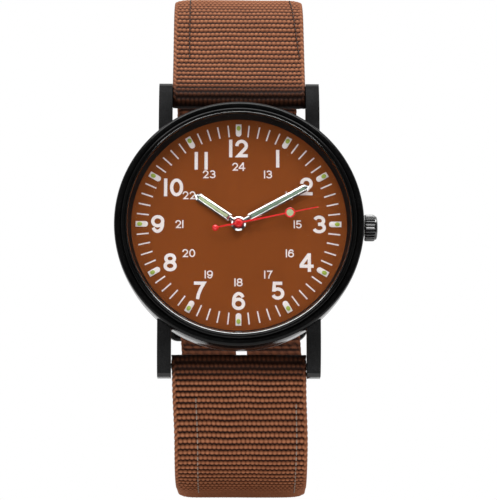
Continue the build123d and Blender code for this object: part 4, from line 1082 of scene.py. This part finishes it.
def keeper(name, node, body, low):
    """A webbing loop round both strap layers, from z = low."""
    half_x, half_y, middle, corner = 11.85, 3.02, 42.775, 0.6
    wall, width, soft, phase, plain = 0.82, 5.0, 0.15, 0.35, 0.35
    legs = [(2 * (half_x - corner), 0), (corner, quarter), (2 * (half_y - corner), 0), (corner, quarter)] * 2
    around = sum(size * bend if bend else size for size, bend in legs)
    rim = [(soft + (width - 2 * soft) * i / 20, 0.0) for i in range(21)]
    rim += [(width, -soft), (width, soft - wall)]
    rim += [(width - soft - (width - 2 * soft) * i / 6, -wall) for i in range(7)]
    rim += [(0, soft - wall), (0, -soft)]
    columns = 240
    bm = bmesh.new()
    bmesh.ops.create_grid(bm, x_segments=columns, y_segments=len(rim), size=0.5)
    height = bm.verts.layers.float.new("weave")
    for v in bm.verts:
        column = round((v.co.x + 0.5) * columns) % columns
        along, reach = rim[round((v.co.y + 0.5) * len(rim)) % len(rim)]
        travel = column * around / columns
        woven = weave(travel, along + phase)
        spot, outward = centre_line(legs, travel, Vector((middle - half_y, corner - half_x)), 0.0)
        y, x = spot + outward * (reach - keeper_relief * (1 - woven) * (reach == 0))
        v[height] = woven if reach == 0 else plain
        v.co = Vector((x, y, low + along)) * mm
    return keep(bm, name, body, "keeper_webbing", [node])


keeper("keeper_loop_fixed", "keeper_fixed", "case", 7.0)
keeper("keeper_loop_free", "keeper_free", "keeper_free", 14.5)
for node in ("buckle_frame", "buckle_tongue"):
    polished_copy(node, node + "_rounded", node, "bezel_steel", width=0.12, segments=2)

# %% [markdown]
# ## Floor, light and background
# The watch stands on a pale floor. The camera looks up a little from below the
# floor's level, so the floor's underside is clear to camera rays, and the floor
# casts no shadow. The world is white to the camera. For gloss it is dark in front
# of the watch, so that black metal stays black, and bright behind and above it.
# One broad soft lamp above, a weaker one below and two weak ones at the sides
# light the watch as in a light tent. Only the lamp above shows in gloss.

# %% Floor
floor_gap, floor_radius, floor_middle = 0.05, 160, 120
floor_level = frame_box[0].z - floor_gap * mm
bm = bmesh.new()
bmesh.ops.create_circle(bm, cap_ends=True, segments=96, radius=floor_radius * mm)
bmesh.ops.translate(bm, verts=bm.verts, vec=(0, floor_middle * mm, floor_level))
mesh = bpy.data.meshes.new("pale_floor")
bm.to_mesh(mesh)
bm.free()
floor = bpy.data.objects.new("pale_floor", mesh)
scene.collection.objects.link(floor)
paper, shader = start_finish("pale_floor")
fleck = speckle(paper, place(paper), 0.6)
tone = blend_colours(paper, fleck, grey(0.72), grey(0.78))
fill(paper, shader, {"Base Color": tone, "Roughness": 0.85})
rays = add(paper, "ShaderNodeLightPath").outputs
under = add(paper, "ShaderNodeNewGeometry").outputs["Backfacing"]
from_under = compute(paper, "MULTIPLY", rays["Is Camera Ray"], under)
see_through(paper, shader, compute(paper, "MAXIMUM", from_under, rays["Is Shadow Ray"]))
mesh.materials.append(paper)
print("floor at z in mm:", round(floor_level / mm, 2))

# %% World and lamps
world = bpy.data.worlds.new("tent")
scene.world = world
world.use_nodes = True
sky = world.node_tree.nodes["Background"]
direction = add(world, "ShaderNodeTexCoord").outputs["Generated"]
aspect = add(world, "ShaderNodeSeparateXYZ", {"Vector": direction}).outputs
behind = between(world, aspect["Y"], 0.04, 1.0, -0.15, 0.5)
above = between(world, aspect["Z"], 0.0, 0.9, 0.72, 0.92)
path = add(world, "ShaderNodeLightPath").outputs
bright = compute(world, "MAXIMUM", compute(world, "MAXIMUM", behind, above), path["Is Camera Ray"])
soft = compute(world, "MULTIPLY", 0.2, path["Is Diffuse Ray"])
rest = compute(world, "SUBTRACT", 1.0, path["Is Diffuse Ray"])
level = compute(world, "MULTIPLY_ADD", bright, rest, soft)
fill(world, sky, {"Strength": level, "Color": (1, 1, 1, 1)})


def lamp(name, spot, wide, high, power, in_gloss=False):
    """A soft area lamp that looks at the case back's centre; in_gloss lets metal and glass mirror it."""
    light = bpy.data.lights.new(name, "AREA")
    light.shape = "RECTANGLE"
    light.size, light.size_y = wide, high
    light.energy = power
    holder = bpy.data.objects.new(name, light)
    holder.location = spot
    holder.rotation_euler = (Vector((0, 0, 0)) - Vector(spot)).to_track_quat("-Z", "Y").to_euler()
    holder.visible_glossy = in_gloss
    scene.collection.objects.link(holder)


lamp("lamp_above", (0, -0.21, 0.43), 0.62, 0.24, 2.75, in_gloss=True)
lamp("lamp_left", (-0.5, -0.3, 0.12), 0.2, 0.4, 0.65)
lamp("lamp_right", (0.5, -0.3, 0.12), 0.2, 0.4, 0.65)
lamp("lamp_below", (0, -0.3, -0.34), 0.4, 0.3, 0.85)
scene.view_settings.view_transform = "Standard"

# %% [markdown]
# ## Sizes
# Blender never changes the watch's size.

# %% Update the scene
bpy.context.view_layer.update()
